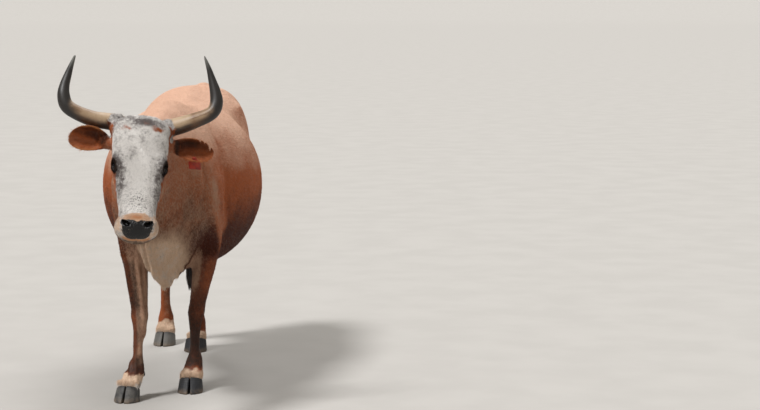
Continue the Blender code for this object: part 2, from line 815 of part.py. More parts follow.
def leg_prism(name, leg, spare):
    """The block that holds one leg. Its sloping top runs from between the legs up and out to the flank."""
    side = -1 if "right" in leg else 1
    if "fore" in leg:
        inner, low, slope = (-0.036 if side < 0 else 0.016), 0.468, 1.20
        start, end = -0.80, -0.325
    else:
        inner, low, slope = (-0.062 if side < 0 else -0.022), 0.600, 0.75
        start, end = 0.190, 0.766
    inner_x = inner - side * spare
    outer_x = side * 0.42
    lift = spare * math.sqrt(1 + slope * slope)
    outline = (
        (inner_x, -0.05),
        (outer_x, -0.05),
        (outer_x, low + slope * abs(outer_x - inner) + lift),
        (inner_x, low + lift),
    )
    block = prism(name, outline, start - spare, end + spare, 1)
    if "hind" in leg:
        front = ((0.43, -0.06), (0.385, 0.56), (0.285, 0.80), (0.285, 1.2), (0.80, 1.2), (0.80, -0.06))
        moved = [(y - 1.1 * spare if y < 0.5 else y, z) for y, z in front]
        cut(block, prism("front_of_leg", moved, -0.5, 0.5, 0), "INTERSECT")
    return block


def hoof_block(name, leg, spare):
    """The block below the coronet's sloping plane, round one foot."""
    rise = CORONET_SLOPE * 0.10
    outline = (
        (-0.10, -0.05),
        (0.10, -0.05),
        (0.10, CORONET_HEIGHT - rise + spare),
        (-0.10, CORONET_HEIGHT + rise + spare),
    )
    block = prism(name, outline, -0.085, 0.085, 0)
    block.data.transform(foot_frame(leg))
    return block


def make_claw(leg, side, name, colour):
    """One half of a cloven hoof: flat inside, curved outside, its front wall sloping down to the toe."""
    frame = foot_frame(leg)
    rings = []
    count = 14
    for share, size in ((0.0, 0.97), (0.07, 1.0), (1.0, 0.88)):
        half_long = CLAW_LENGTH * (0.490 - 0.165 * share)
        middle = -0.002 + 0.022 * share
        ring = []
        for k in range(count):
            angle = 2 * math.pi * k / count
            along = math.cos(angle)
            outward = math.sin(angle)
            taper = 1 - 0.34 * max(0.0, along) ** 1.5 * (1 - 0.6 * share)
            if outward >= 0:
                across = CLAW_WIDTH * power(outward, 2.4) * taper
            else:
                across = 0.001 * outward
            x = side * (0.0022 + 0.004 * (1 - share) * max(0.0, along) + across * size)
            y = middle - along * half_long * min(1.0, size + 0.05 * share)
            top = CORONET_HEIGHT - CORONET_SLOPE * y - GAP
            ring.append(frame @ Vector((x, y, share * top)))
        rings.append(ring)
    bm = bmesh.new()
    add_loft(bm, rings)
    return new_object(name, bm, colour)


def dewclaw_rows(leg, side, extra):
    """A dewclaw's line behind the fetlock, as x, y, z, radius."""
    frame = foot_frame(leg)
    _, x, y = LEG_LINES[leg][-3]
    local = frame.inverted() @ Vector((x, y, 0))
    rows = (
        (local.x + side * 0.016, local.y + 0.014, 0.114, 0.0100 + extra),
        (local.x + side * 0.019, local.y + 0.030, 0.104, 0.0110 + extra),
        (local.x + side * 0.020, local.y + 0.040, 0.093, 0.0080 + extra),
        (local.x + side * 0.020, local.y + 0.044, 0.086, 0.0035 + extra),
    )
    return [(*(frame @ Vector(r[:3])), r[3]) for r in rows]


def make_dewclaw(leg, side, name, colour, flesh):
    socket = bmesh.new()
    add_tube(socket, dewclaw_rows(leg, side, GAP), 7)
    cut(flesh, new_object("socket", socket))
    bm = bmesh.new()
    add_tube(bm, dewclaw_rows(leg, side, 0.0), 7)
    return new_object(name, bm, colour)


def make_tail(colour):
    """The tail's own flesh, from the cut behind the rump down into the switch."""
    bm = bmesh.new()
    add_tube(bm, between(TAIL, 3), 12)
    tail = new_object("tail", bm, colour)
    cut(tail, half_space("front_of_cut", 1, TAIL_CUT_Y, False))
    return tail


def make_switch(colour):
    """The tail's brush: flat tapered locks round a short core, all lying down to one tip."""
    draw = random.Random(11)
    core_rows = between(TAIL, 6)
    line = [r for r in core_rows if r[2] < SWITCH_TOP + 0.02]
    foot = Vector(line[-1][:3])
    tip = Vector((foot.x - 0.004, foot.y - 0.010, TAIL_TIP_HEIGHT))
    pieces = []
    core = bmesh.new()
    rows = [(*r[:3], r[3] + 0.004) for r in line if r[2] < SWITCH_TOP]
    rows += [(*foot.lerp(tip, s), 0.0145 * (1 - s) + 0.004) for s in (0.15, 0.35, 0.55)]
    add_tube(core, rows, 9)
    pieces.append(new_object("core", core))
    for n in range(SWITCH_LOCKS):
        angle = n * 2.399963
        share = (n + 0.5) / SWITCH_LOCKS
        start_height = SWITCH_TOP - 0.015 - 0.150 * share
        length = 0.150 + 0.060 * draw.random()
        end_height = max(TAIL_TIP_HEIGHT + 0.004 * draw.random(), start_height - length)
        out = Vector((math.cos(angle), math.sin(angle), 0))
        base_x, base_y = at_height([(r[2], r[0], r[1]) for r in core_rows[6:]], start_height)
        start = Vector((base_x, base_y, start_height)) + out * 0.004
        waist = 0.021 + 0.006 * draw.random()
        end = Vector((tip.x, tip.y, end_height)) + out * (0.005 + 0.030 * (end_height - TAIL_TIP_HEIGHT) / 0.15)
        lock = bmesh.new()
        rings = []
        for k in range(4):
            s = k / 3
            middle = start.lerp(end, s) + out * waist * math.sin(math.pi * min(1, s * 1.15)) * 0.75
            across = Vector((-out.y, out.x, 0)) * (0.0125 * (1 - s) ** 0.7 + 0.0012)
            thick = out * (0.0042 * (1 - s) + 0.0008)
            rings.append([middle + across, middle + thick, middle - across, middle - thick])
        add_loft(lock, rings)
        pieces.append(new_object("lock", lock))
    switch = pieces[0]
    gathered = bpy.data.collections.new("locks")
    bpy.context.scene.collection.children.link(gathered)
    for piece in pieces[1:]:
        gathered.objects.link(piece)
    boolean = switch.modifiers.new("join", "BOOLEAN")
    boolean.operation = "UNION"
    boolean.operand_type = "COLLECTION"
    boolean.solver = "EXACT"
    boolean.collection = gathered
    settle(switch)
    for piece in pieces[1:]:
        drop(piece)
    bpy.data.collections.remove(gathered)
    hollow = bmesh.new()
    add_tube(hollow, [(*r[:3], r[3] + GAP) for r in between(TAIL, 3)], 12)
    cut(switch, new_object("hollow", hollow))
    largest_only(switch)
    switch.name = "tail_switch"
    switch.data.materials.append(colour)
    return switch


def clear_scene():
    for obj in list(bpy.data.objects):
        bpy.data.objects.remove(obj)


def body_form():
    """The whole body, from the nape to the buttocks and down to the claws, as one smooth skin."""
    bm = bmesh.new()
    add_trunk(bm)
    add_dewlap(bm)
    add_hips(bm)
    add_udder(bm)
    add_head(bm)
    for leg in LEG_LINES:
        add_leg(bm, leg)
    body = new_object("body", bm)
    fuse(body, BODY_VOXEL, 9)
    inward = 0.022
    swell(
        body,
        (
            (Vector((RUMP_X + 0.235, 0.270, 1.060)), 0.085, Vector((-inward, 0, -0.012))),
            (Vector((RUMP_X - 0.255, 0.270, 1.060)), 0.085, Vector((inward, 0, -0.012))),
            (Vector((TRUNK_X + 0.215, -0.300, 0.860)), 0.070, Vector((-0.012, 0, 0))),
            (Vector((TRUNK_X - 0.215, -0.300, 0.860)), 0.070, Vector((0.012, 0, 0))),
        ),
    )
    thin(body, BODY_TRIANGLES)
    return body


def head_form():
    """The head with the start of the neck behind it, in a finer skin."""
    bm = bmesh.new()
    add_trunk(bm, HEAD_CUT_Y + 0.08)
    add_dewlap(bm, HEAD_CUT_Y + 0.08)
    add_head(bm)
    head = new_object("head", bm)
    fuse(head, HEAD_VOXEL, 5)
    thin(head, HEAD_TRIANGLES)
    cut(head, half_space("neck_side", 1, HEAD_CUT_Y, True))
    return head


def make_cow():
    clear_scene()
    hide = material("red_hide", (0.42, 0.17, 0.08), 0.6)
    face_hide = material("pale_face_hide", (0.62, 0.58, 0.54), 0.6)
    bare_skin = material("bare_skin", (0.62, 0.42, 0.33), 0.5)
    horn_colour = material("horn", (0.30, 0.26, 0.20), 0.4)
    hoof_colour = material("hoof", (0.20, 0.20, 0.20), 0.5)
    eye_colour = material("eye", (0.02, 0.015, 0.01), 0.08)
    hair_colour = material("switch_hair", (0.03, 0.025, 0.022), 0.6)
    tag_colour = material("tag", (0.55, 0.09, 0.05), 0.45)

    head = head_form()
    head.data.materials.append(face_hide)
    for side in (-1, 1):
        socket = bmesh.new()
        add_tube(socket, horn_rows(side, GAP), 10)
        cut(head, new_object("socket", socket))
        root, way = ear_root(side), ear_way(side)
        bm = bmesh.new()
        turn = way.to_track_quat("Z", "Y").to_matrix().to_4x4()
        place = Matrix.Translation(root + way * 0.05) @ turn
        bmesh.ops.create_cone(bm, segments=24, radius1=0.06, radius2=0.06, depth=0.10, cap_ends=True, matrix=place)
        cut(head, new_object("stump_end", bm))
    carve_eyes(head)
    carve_nostrils(head)
    carve_mouth(head)
    largest_only(head)

    body = body_form()
    cut(body, half_space("head_side", 1, HEAD_CUT_Y + GAP, False))
    cut(body, half_space("tail_side", 1, TAIL_CUT_Y - GAP, True))
    for leg in LEG_LINES:
        cut(body, hoof_block("hoof_space", leg, 0.0))
    largest_only(body)

    udder = copy_of(body, "udder", bare_skin)
    udder_outline = ((0.215, 0.40), (0.455, 0.40), (0.455, 0.545), (0.215, 0.545))
    cut(udder, prism("udder_block", udder_outline, -0.056, 0.056, 0), "INTERSECT")
    largest_only(udder)

    legs = {}
    for leg in LEG_LINES:
        legs[leg] = copy_of(body, leg, hide)
        cut(legs[leg], leg_prism("leg_block", leg, 0.0), "INTERSECT")
        cut(body, leg_prism("leg_space", leg, GAP))
    grown = ((0.215 - GAP, 0.40), (0.455 + GAP, 0.40), (0.455 + GAP, 0.545 + GAP), (0.215 - GAP, 0.545 + GAP))
    for leg in ("hindleg_left", "hindleg_right"):
        cut(legs[leg], prism("udder_space", grown, -0.056 - GAP, 0.056 + GAP, 0))
    cut(body, prism("udder_space", grown, -0.056 - GAP, 0.056 + GAP, 0))
    for leg in legs.values():
        largest_only(leg)

    neck = copy_of(body, "neck", hide)
    cut(neck, shoulder_prism("trunk_side", 0.0))
    largest_only(neck)
    body.name = "torso"
    body.data.materials.append(hide)
    cut(body, shoulder_prism("trunk_side", GAP), "INTERSECT")
    largest_only(body)

    for side, word in ((-1, "right"), (1, "left")):
        make_horn(side, "horn_" + word, horn_colour)
        ear = make_ear(side, "ear_" + word, hide)
        make_eye(side, "eye_" + word, eye_colour)
    make_tag(ear, tag_colour)
    for leg in LEG_LINES:
        for side, word in ((-1, "right"), (1, "left")):
            make_claw(leg, side, leg + "_claw_" + word, hoof_colour)
            make_dewclaw(leg, side, leg + "_dewclaw_" + word, hoof_colour, legs[leg])
        largest_only(legs[leg])
    make_tail(hide)
    make_switch(hair_colour)
    centre_on_floor()


def centre_on_floor():
    """Moves the whole cow so that the middle of its footprint's box stands over the origin."""
    points = [vertex.co for obj in bpy.data.objects for vertex in obj.data.vertices]
    low = [min(p[axis] for p in points) for axis in range(2)]
    high = [max(p[axis] for p in points) for axis in range(2)]
    shift = Matrix.Translation((-(low[0] + high[0]) / 2, -(low[1] + high[1]) / 2, 0))
    for obj in bpy.data.objects:
        obj.data.transform(shift)


make_cow()
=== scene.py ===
import math
import random

import bmesh
import bpy
import numpy as np
from mathutils import Matrix, Vector
from mathutils.bvhtree import BVHTree


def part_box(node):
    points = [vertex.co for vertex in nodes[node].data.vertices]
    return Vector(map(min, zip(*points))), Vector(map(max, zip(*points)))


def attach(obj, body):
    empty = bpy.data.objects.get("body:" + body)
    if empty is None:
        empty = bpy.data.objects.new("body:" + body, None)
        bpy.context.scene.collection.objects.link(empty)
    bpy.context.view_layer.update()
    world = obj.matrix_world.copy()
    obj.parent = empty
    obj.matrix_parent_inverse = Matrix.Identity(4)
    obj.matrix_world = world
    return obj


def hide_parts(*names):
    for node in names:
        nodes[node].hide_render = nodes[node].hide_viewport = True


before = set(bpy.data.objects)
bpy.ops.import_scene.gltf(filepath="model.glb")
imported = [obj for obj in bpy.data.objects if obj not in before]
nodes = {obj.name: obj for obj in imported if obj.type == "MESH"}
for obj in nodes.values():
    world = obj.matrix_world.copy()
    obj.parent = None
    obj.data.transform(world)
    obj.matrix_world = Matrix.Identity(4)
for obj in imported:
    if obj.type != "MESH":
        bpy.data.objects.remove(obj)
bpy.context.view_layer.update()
print("frame loaded,", len(nodes), "nodes")

# A standing horned cow. She faces -Y and her left side is +X.

# small helpers


def tint(red, green, blue):  # a colour as seen on a screen, 0 to 255, made linear
    linear = ((c / 255) / 12.92 if c <= 10 else ((c / 255 + 0.055) / 1.055) ** 2.4 for c in (red, green, blue))
    return (*linear, 1)


def ease(low, high, value):  # 0 below low, 1 above high, smooth between
    t = np.clip((value - low) / (high - low), 0, 1)
    return t * t * (3 - 2 * t)


def between(rows, steps):  # rows of numbers on a smooth curve through them all
    last = len(rows) - 1
    found = []
    for i in range(last):
        four = (rows[max(i - 1, 0)], rows[i], rows[i + 1], rows[min(i + 2, last)])
        for k in range(steps):
            t = k / steps
            found.append(tuple(
                b + 0.5 * t * (c - a + t * (2 * a - 5 * b + 4 * c - d + t * (3 * (b - c) + d - a)))
                for a, b, c, d in zip(*four)
            ))
    found.append(tuple(rows[last]))
    return found


def loftInto(bm, rings, closed=True, ends=True):
    made = [[bm.verts.new(p) for p in ring] for ring in rings]
    count = len(made[0])
    faces = []
    for lower, upper in zip(made, made[1:]):
        for k in range(count if closed else count - 1):
            n = (k + 1) % count
            faces.append(bm.faces.new((lower[k], lower[n], upper[n], upper[k])))
    if ends:
        bm.faces.new(list(reversed(made[0])))
        bm.faces.new(made[-1])
    return made


def tubeInto(bm, rows, count):
    points = [Vector(r[:3]) for r in rows]
    side = None
    rings = []
    for i, row in enumerate(rows):
        along = (points[min(i + 1, len(rows) - 1)] - points[max(i - 1, 0)]).normalized()
        side = along.orthogonal().normalized() if side is None else (side - along * side.dot(along)).normalized()
        up = along.cross(side)
        rings.append([
            points[i] + side * (row[3] * math.cos(2 * math.pi * k / count))
            + up * (row[3] * math.sin(2 * math.pi * k / count))
            for k in range(count)
        ])
    return loftInto(bm, rings)


def ballInto(bm, centre, radii, turn=None, detail=3):
    matrix = Matrix.Translation(centre) @ (turn or Matrix.Identity(4)) @ Matrix.Diagonal((*radii, 1))
    bmesh.ops.create_icosphere(bm, subdivisions=detail, radius=1, matrix=matrix)


def pieceFrom(name, bm, material=None):
    bmesh.ops.recalc_face_normals(bm, faces=bm.faces)
    mesh = bpy.data.meshes.new(name)
    bm.to_mesh(mesh)
    bm.free()
    made = bpy.data.objects.new(name, mesh)
    bpy.context.scene.collection.objects.link(made)
    if material:
        mesh.materials.append(material)
    mesh.shade_smooth()
    return made


def settle(piece):  # applies the modifiers
    mesh = bpy.data.meshes.new_from_object(piece.evaluated_get(bpy.context.evaluated_depsgraph_get()))
    piece.modifiers.clear()
    piece.data = mesh
    return piece


def remesh(piece, voxel, rounds=0):
    fuse = piece.modifiers.new("fuse", "REMESH")
    fuse.mode = "VOXEL"
    fuse.voxel_size = voxel
    if rounds:
        soft = piece.modifiers.new("soft", "SMOOTH")
        soft.factor = 0.5
        soft.iterations = rounds
    return settle(piece)


def placesOf(mesh):
    found = np.empty(len(mesh.vertices) * 3, np.float32)
    mesh.vertices.foreach_get("co", found)
    return found.reshape(-1, 3).astype(float)


def normalsOf(mesh):
    found = np.empty(len(mesh.vertices) * 3, np.float32)
    mesh.vertex_normals.foreach_get("vector", found)
    return found.reshape(-1, 3).astype(float)


def putPlaces(mesh, places):
    mesh.vertices.foreach_set("co", places.astype(np.float32).ravel())
    mesh.update()


def nearLine(places, line):  # distance of each place to a polyline, and how far along it, 0 to 1
    line = np.array([tuple(p) for p in line], float)
    best = np.full(len(places), 1e9)
    share = np.zeros(len(places))
    lengths = np.linalg.norm(line[1:] - line[:-1], axis=1)
    total, gone = lengths.sum(), 0.0
    for a, b, length in zip(line, line[1:], lengths):
        t = np.clip(((places - a) @ (b - a)) / max(length * length, 1e-12), 0, 1)
        gap = np.linalg.norm(places - (a + t[:, None] * (b - a)), axis=1)
        closer = gap < best
        best[closer] = gap[closer]
        share[closer] = (gone + t[closer] * length) / total
        gone += length
    return best, share


def gauss(values, middle, reach):
    return np.exp(-((values - middle) / reach) ** 2)


def cloud(places, size, seed):  # smooth random values from -1 to 1, about so large
    table = np.random.default_rng(seed).uniform(-1, 1, 4096)
    cell = places / size
    base = np.floor(cell).astype(np.int64)
    t = cell - base
    t = t * t * (3 - 2 * t)
    total = np.zeros(len(places))
    for corner in range(8):
        step = np.array((corner & 1, corner >> 1 & 1, corner >> 2 & 1))
        key = ((base + step) * np.array((73856093, 19349663, 83492791))).sum(1) % 4096
        total += table[key] * np.where(step, t, 1 - t).prod(1)
    return total


# the head's own frame

headTurn = (
    Matrix.Rotation(math.radians(8.5), 4, "Z") @ Matrix.Rotation(math.radians(4.2), 4, "Y")
    @ Matrix.Rotation(math.radians(-32), 4, "X")
)
eyeBoxes = [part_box("eye_left"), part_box("eye_right")]
eyeMiddle = (eyeBoxes[0][0] + eyeBoxes[0][1] + eyeBoxes[1][0] + eyeBoxes[1][1]) / 4
poll = eyeMiddle - headTurn @ Vector((0, 0.038, -0.206))
headFrame = Matrix.Translation(poll) @ headTurn
shift = poll - Vector((-0.039, -1.050, 1.183))  # from the numbers below to the frame of the nodes
headAxes = np.array(headTurn.to_3x3())


def facePoint(sideways, down, depth):  # to her left, down the face from the poll, into the head
    return headFrame @ Vector((sideways, depth, -down))


def faceOf(places):  # sideways, down, depth of each place
    local = (places - np.array(poll)) @ headAxes
    return local[:, 0], -local[:, 2], local[:, 1]


def at(x, y, z):
    return Vector((x, y, z)) + shift


camera = {"place": (0.855, -8.05, 1.570), "lens": 1863 * 36 / 760, "drop": math.atan(193 / 1863)}
cameraData = bpy.data.cameras.new("camera")
cameraData.lens = camera["lens"]
cameraData.clip_end = 500
cameraObject = bpy.data.objects.new("camera", cameraData)
cameraObject.location = at(*camera["place"])
cameraObject.rotation_euler = (math.pi / 2 - camera["drop"], 0, 0)
bpy.context.scene.collection.objects.link(cameraObject)
bpy.context.scene.camera = cameraObject

# shader maths


class Wire:  # one socket of a node tree, with the usual operators
    def __init__(self, tree, socket=None):
        self.tree = tree
        self.socket = socket

    def node(self, kind, settings=None, inputs=None, out=0):
        made = self.tree.nodes.new(kind)
        for name, value in (settings or {}).items():
            setattr(made, name, value)
        for key, value in (inputs or {}).items():
            if isinstance(value, Wire):
                self.tree.links.new(value.socket, made.inputs[key])
            else:
                made.inputs[key].default_value = value
        return Wire(self.tree, made.outputs[out])

    def maths(self, operation, *values):
        return self.node("ShaderNodeMath", {"operation": operation}, dict(enumerate(values)))

    def __add__(self, other):
        return self.maths("ADD", self, other)

    __radd__ = __add__

    def __sub__(self, other):
        return self.maths("SUBTRACT", self, other)

    def __rsub__(self, other):
        return self.maths("SUBTRACT", other, self)

    def __mul__(self, other):
        return self.maths("MULTIPLY", self, other)

    __rmul__ = __mul__

    def __pow__(self, other):
        return self.maths("POWER", self, other)

    def above(self, low, high):  # 0 to 1, smooth, as the value goes from low to high
        return self.node("ShaderNodeMapRange", {"interpolation_type": "SMOOTHSTEP"},
                         {"Value": self, "From Min": low, "From Max": high})

    def colour(self, first, second, share, blend="MIX"):
        return self.node("ShaderNodeMix", {"data_type": "RGBA", "blend_type": blend},
                         {0: share, 6: first, 7: second}, out=2)

    def noise(self, place, scale, detail=2.0, rough=0.5):
        sockets = {"Vector": place, "Scale": scale, "Detail": detail, "Roughness": rough}
        return self.node("ShaderNodeTexNoise", {}, sockets)

    def stretch(self, place, by):
        return self.node("ShaderNodeVectorMath", {"operation": "MULTIPLY"}, {0: place, 1: by})

    def painted(self, name):  # a value painted on the mesh
        return self.node("ShaderNodeAttribute", {"attribute_name": name}, {}, out=2)

    def place(self):
        return self.node("ShaderNodeTexCoord", {}, {}, out=3)


def newMaterial(name, **plain):
    made = bpy.data.materials.new(name)
    made.use_nodes = True
    shader = made.node_tree.nodes["Principled BSDF"]
    for key, value in plain.items():
        shader.inputs[key].default_value = value
    return made, Wire(made.node_tree), shader


def plug(wire, shader, name):
    wire.tree.links.new(wire.socket, shader.inputs[name])


def bumped(wire, height, strength, distance):
    return wire.node("ShaderNodeBump", {}, {"Height": height, "Strength": strength, "Distance": distance})


# colours of the hide; the deep rust also serves as painted shade and the pale rust is painted light

hideColours = {
    "rust": tint(166, 88, 46),
    "rustDeepAndShade": tint(66, 20, 0),
    "rustPaintedLight": tint(212, 172, 148),
    "roan": tint(172, 138, 114),
    "white": tint(220, 216, 212),
    "greyHair": tint(104, 96, 94),
    "dark": tint(37, 23, 15),
    "cream": tint(212, 184, 158),
    "orangeAndRimLight": tint(186, 122, 72),
    "padBlack": tint(20, 19, 20),
    "pink": tint(178, 126, 106),
}


def hideColour(w, place, hair):
    c = hideColours
    lit, roan, pale, dark = (w.painted(name) for name in ("lit", "roan", "pale", "dark"))
    grey, warm, bare, tone = (w.painted(name) for name in ("grey", "warm", "bare", "tone"))
    broad = w.noise(place, 7.0, 3.0, 0.55)
    blotch = w.noise(place, 26.0, 3.0, 0.6)
    speck = w.noise(place, 95.0, 2.0, 0.7)
    fine = w.noise(w.stretch(place, (1.0, 0.55, 0.4)), 190.0, 2.0, 0.6)
    # painted light and shade: the lit mask, broken up by noise, runs from the deep shaded rust through rust to the
    # pale lit rust
    level = lit + (broad - 0.5) * 0.26 + (blotch - 0.5) * 0.16
    found = w.colour(c["rustDeepAndShade"], c["rust"], level.above(0.05, 0.46))
    found = w.colour(found, c["rustPaintedLight"], level.above(0.52, 1.0))
    found = w.colour(found, c["roan"], (roan + (speck - 0.5) * 0.7 + (blotch - 0.5) * 0.35).above(0.12, 0.95) * 0.85)
    found = w.colour(found, c["cream"], (warm + (blotch - 0.5) * 0.3).above(0.2, 0.9) * 0.9)
    white = w.colour(c["white"], c["greyHair"], (grey + (speck - 0.5) * 1.0 + (blotch - 0.5) * 0.6).above(0.24, 1.0))
    paleMask = (pale + (blotch - 0.5) * 0.5 + (speck - 0.5) * 0.4).above(0.34, 0.68)
    found = w.colour(found, white, paleMask)
    # dark hair, and painted shade in the crease beside the dewlap, inside the ears and under the muzzle
    found = w.colour(found, c["dark"], (dark + (blotch - 0.5) * 0.35 + (speck - 0.5) * 0.3).above(0.42, 0.95))
    spots = w.noise(place, 225.0, 1.0, 0.5).above(0.565, 0.635) * w.painted("spots")
    found = w.colour(found, c["dark"], spots * 0.85)
    # orange patches on the muzzle and lip, and painted rim light on the ears
    found = w.colour(found, c["orangeAndRimLight"], w.painted("orangeAndRimLight") * 0.9)
    if hair:
        found = w.colour(found, tint(255, 246, 236), w.maths("MAXIMUM", tone - 0.55, 0.0) * 0.30, "SOFT_LIGHT")
        found = w.colour(found, tint(30, 18, 12), w.maths("MAXIMUM", 0.45 - tone, 0.0) * 0.55, "MULTIPLY")
    else:
        found = w.colour(found, tint(60, 36, 26), fine.above(0.35, 0.75) * 0.30, "MULTIPLY")
        found = w.colour(found, c["pink"], w.painted("teat") * 0.8)
        found = w.colour(found, c["padBlack"], bare.above(0.35, 0.62))
    return found, fine, blotch, bare


def makeSkinMaterial():
    made, w, shader = newMaterial("hideSkin", **{"Specular IOR Level": 0.35})
    place = w.place()
    found, fine, _, bare = hideColour(w, place, False)
    plug(found, shader, "Base Color")
    wet = bare.above(0.4, 0.7)
    plug(0.62 - wet * 0.34 + (fine - 0.5) * 0.12, shader, "Roughness")
    pebble = w.node(
        "ShaderNodeTexVoronoi", {"feature": "SMOOTH_F1"}, {"Vector": place, "Scale": 360.0, "Smoothness": 0.35}
    )
    height = fine * 0.6 * (1 - wet) + (1 - pebble * pebble * 1.6) * wet * 0.9 + w.noise(place, 420.0, 2.0) * 0.3
    plug(bumped(w, height, 0.55, 0.0012), shader, "Normal")
    return made


def makeCoatMaterial():
    made, w, shader = newMaterial("hideHair", **{"Specular IOR Level": 0.12})
    place = w.place()
    found, _, blotch, _ = hideColour(w, place, True)
    plug(found, shader, "Base Color")
    plug(0.58 + (blotch - 0.5) * 0.2, shader, "Roughness")
    return made


skinMaterial = makeSkinMaterial()
coatMaterial = makeCoatMaterial()
print("hide materials made")

# the skin's base form

headSections = (  # down the face, depths of front, widest level and back, half width, two roundnesses
    (-0.014, 0.030, 0.060, 0.095, 0.045, 2.2, 2.0),
    (0.000, 0.008, 0.055, 0.125, 0.082, 2.4, 2.0),
    (0.040, -0.008, 0.060, 0.170, 0.103, 2.6, 2.0),
    (0.100, -0.016, 0.062, 0.200, 0.106, 2.6, 1.9),
    (0.160, -0.014, 0.062, 0.215, 0.103, 2.5, 1.8),
    (0.215, -0.008, 0.062, 0.222, 0.098, 2.4, 1.7),
    (0.265, 0.000, 0.068, 0.215, 0.088, 2.3, 1.8),
    (0.320, 0.006, 0.070, 0.190, 0.078, 2.3, 1.8),
    (0.370, 0.008, 0.068, 0.158, 0.070, 2.3, 1.9),
    (0.410, 0.006, 0.064, 0.138, 0.070, 2.4, 2.0),
    (0.445, 0.010, 0.062, 0.126, 0.073, 2.5, 2.2),
    (0.466, 0.018, 0.066, 0.120, 0.065, 2.4, 2.3),
    (0.482, 0.030, 0.068, 0.108, 0.048, 2.3, 2.2),
    (0.490, 0.046, 0.070, 0.094, 0.026, 2.2, 2.0),
)
eyeSet = {"radius": 0.0195, "half": 0.0178, "upper": 0.0112, "lower": 0.0102}
earSet = {
    "length": {-1: 0.138, 1: 0.153}, "width": {-1: 0.102, 1: 0.096}, "drop": {-1: 0.024, 1: 0.016},
    "lift": {-1: math.radians(21), 1: math.radians(-3)}, "forward": {-1: math.radians(16), 1: math.radians(10)},
    "roll": {-1: math.radians(8), 1: math.radians(20)}, "steps": 56, "arc": 28,
    "bites": (  # in the left one: where, half width, how deep
        (0.58, 0.028, 0.42), (0.69, 0.036, 0.95), (0.80, 0.028, 0.85), (0.91, 0.058, 1.45),
    ),
}
hornLines = {  # x, y, z, radius from inside the head to the tip
    -1: (
        (-0.1055, -0.995, 1.1427, 0.0292), (-0.1685, -1.012, 1.1578, 0.0302), (-0.2231, -1.030, 1.1679, 0.0289),
        (-0.2840, -1.044, 1.1932, 0.0262), (-0.3230, -1.044, 1.2207, 0.0250), (-0.3357, -1.034, 1.2593, 0.0226),
        (-0.3337, -1.020, 1.2958, 0.0181), (-0.3236, -1.008, 1.3316, 0.0141), (-0.3117, -1.000, 1.3676, 0.0093),
        (-0.2992, -0.994, 1.4007, 0.0045), (-0.2963, -0.993, 1.4077, 0.0018),
    ),
    1: (
        (0.0131, -0.975, 1.1132, 0.0303), (0.0604, -0.982, 1.1313, 0.0313), (0.1061, -0.985, 1.1441, 0.0308),
        (0.1566, -0.985, 1.1617, 0.0278), (0.2005, -0.980, 1.1791, 0.0253), (0.2246, -0.972, 1.1989, 0.0243),
        (0.2331, -0.960, 1.2297, 0.0235), (0.2270, -0.948, 1.2697, 0.0199), (0.2149, -0.938, 1.3130, 0.0142),
        (0.2041, -0.931, 1.3503, 0.0097), (0.1915, -0.926, 1.3858, 0.0051), (0.1857, -0.924, 1.4025, 0.0018),
    ),
}
feet = {  # x, y of the sole and of the fetlock, and how far the toe turns out
    "foreleg_right": (-0.171, -0.622, -0.142, -0.566, -13), "foreleg_left": (0.068, -0.440, 0.081, -0.388, -3),
    "hindleg_right": (-0.167, 0.668, -0.164, 0.722, -9), "hindleg_left": (-0.004, 0.505, 0.004, 0.560, -4),
}
skinSet = {"voxel": 0.0075, "headVoxel": 0.0028, "push": 0.0005}
sideBalls = (  # forms on both sides of the head: sideways, down, depth, and three radii
    ((0.0735, 0.191, 0.036), (0.031, 0.038, 0.044)),  # brow
    ((0.060, 0.215, 0.140), (0.037, 0.062, 0.088)),  # jaw
    ((0.046, 0.438, 0.064), (0.036, 0.046, 0.044)),  # side of the muzzle
    ((0.040, 0.446, 0.034), (0.026, 0.024, 0.030)),  # wing of the nostril
    ((0.078, 0.040, 0.052), (0.040, 0.040, 0.038)),  # under the horn
)
middleBalls = (
    ((0, 0.432, 0.110), (0.045, 0.030, 0.046)),  # chin
    ((0, 0.020, 0.060), (0.075, 0.050, 0.045)),  # poll
)
collarSet = {"from": {-1: 3, 1: 5}, "rows": 9, "proud": 0.0045, "sunk": 0.0012}  # where skin meets horn


def eyeCentre(side):
    return facePoint(side * 0.0790, 0.206, 0.038)


def eyeAxes(side):  # look, along the lids, towards the upper lid
    look = (headTurn.to_3x3() @ Vector((side * 0.74, -0.67, -0.08))).normalized()
    down = -(headTurn.to_3x3() @ Vector((0, 0, 1)))
    along = (down - look * down.dot(look)).normalized()
    return look, along, look.cross(along) * -side


def earAxes(side):  # root, way out, face of the cup, the ear's own up
    lift, forward, roll = earSet["lift"][side], earSet["forward"][side], earSet["roll"][side]
    way = Vector((side * math.cos(lift) * math.cos(forward), -math.sin(forward), math.sin(lift))).normalized()
    face = Vector((0, -math.cos(roll), -math.sin(roll)))
    face = (face - way * face.dot(way)).normalized()
    return facePoint(side * 0.126, 0.074, 0.088), way, face, way.cross(face) * -side


def hornRows(side, steps=3, extra=0.0):
    return [
        (x + shift.x, y + shift.y, z + shift.z, radius + extra) for x, y, z, radius in between(hornLines[side], steps)
    ]


def footFrame(leg):
    x, y, _, _, turn = feet[leg]
    return Matrix.Translation(at(x, y, 0)) @ Matrix.Rotation(math.radians(turn), 4, "Z")


def section(top, level, bottom, half, roundAbove, roundBelow, count):
    pairs = []
    for k in range(count):
        angle = 2 * math.pi * k / count
        roundness = roundAbove if math.sin(angle) >= 0 else roundBelow
        reach = top - level if math.sin(angle) >= 0 else level - bottom
        power = lambda v: math.copysign(abs(v) ** (2 / roundness), v)
        pairs.append((half * power(math.cos(angle)), level + reach * power(math.sin(angle))))
    return pairs


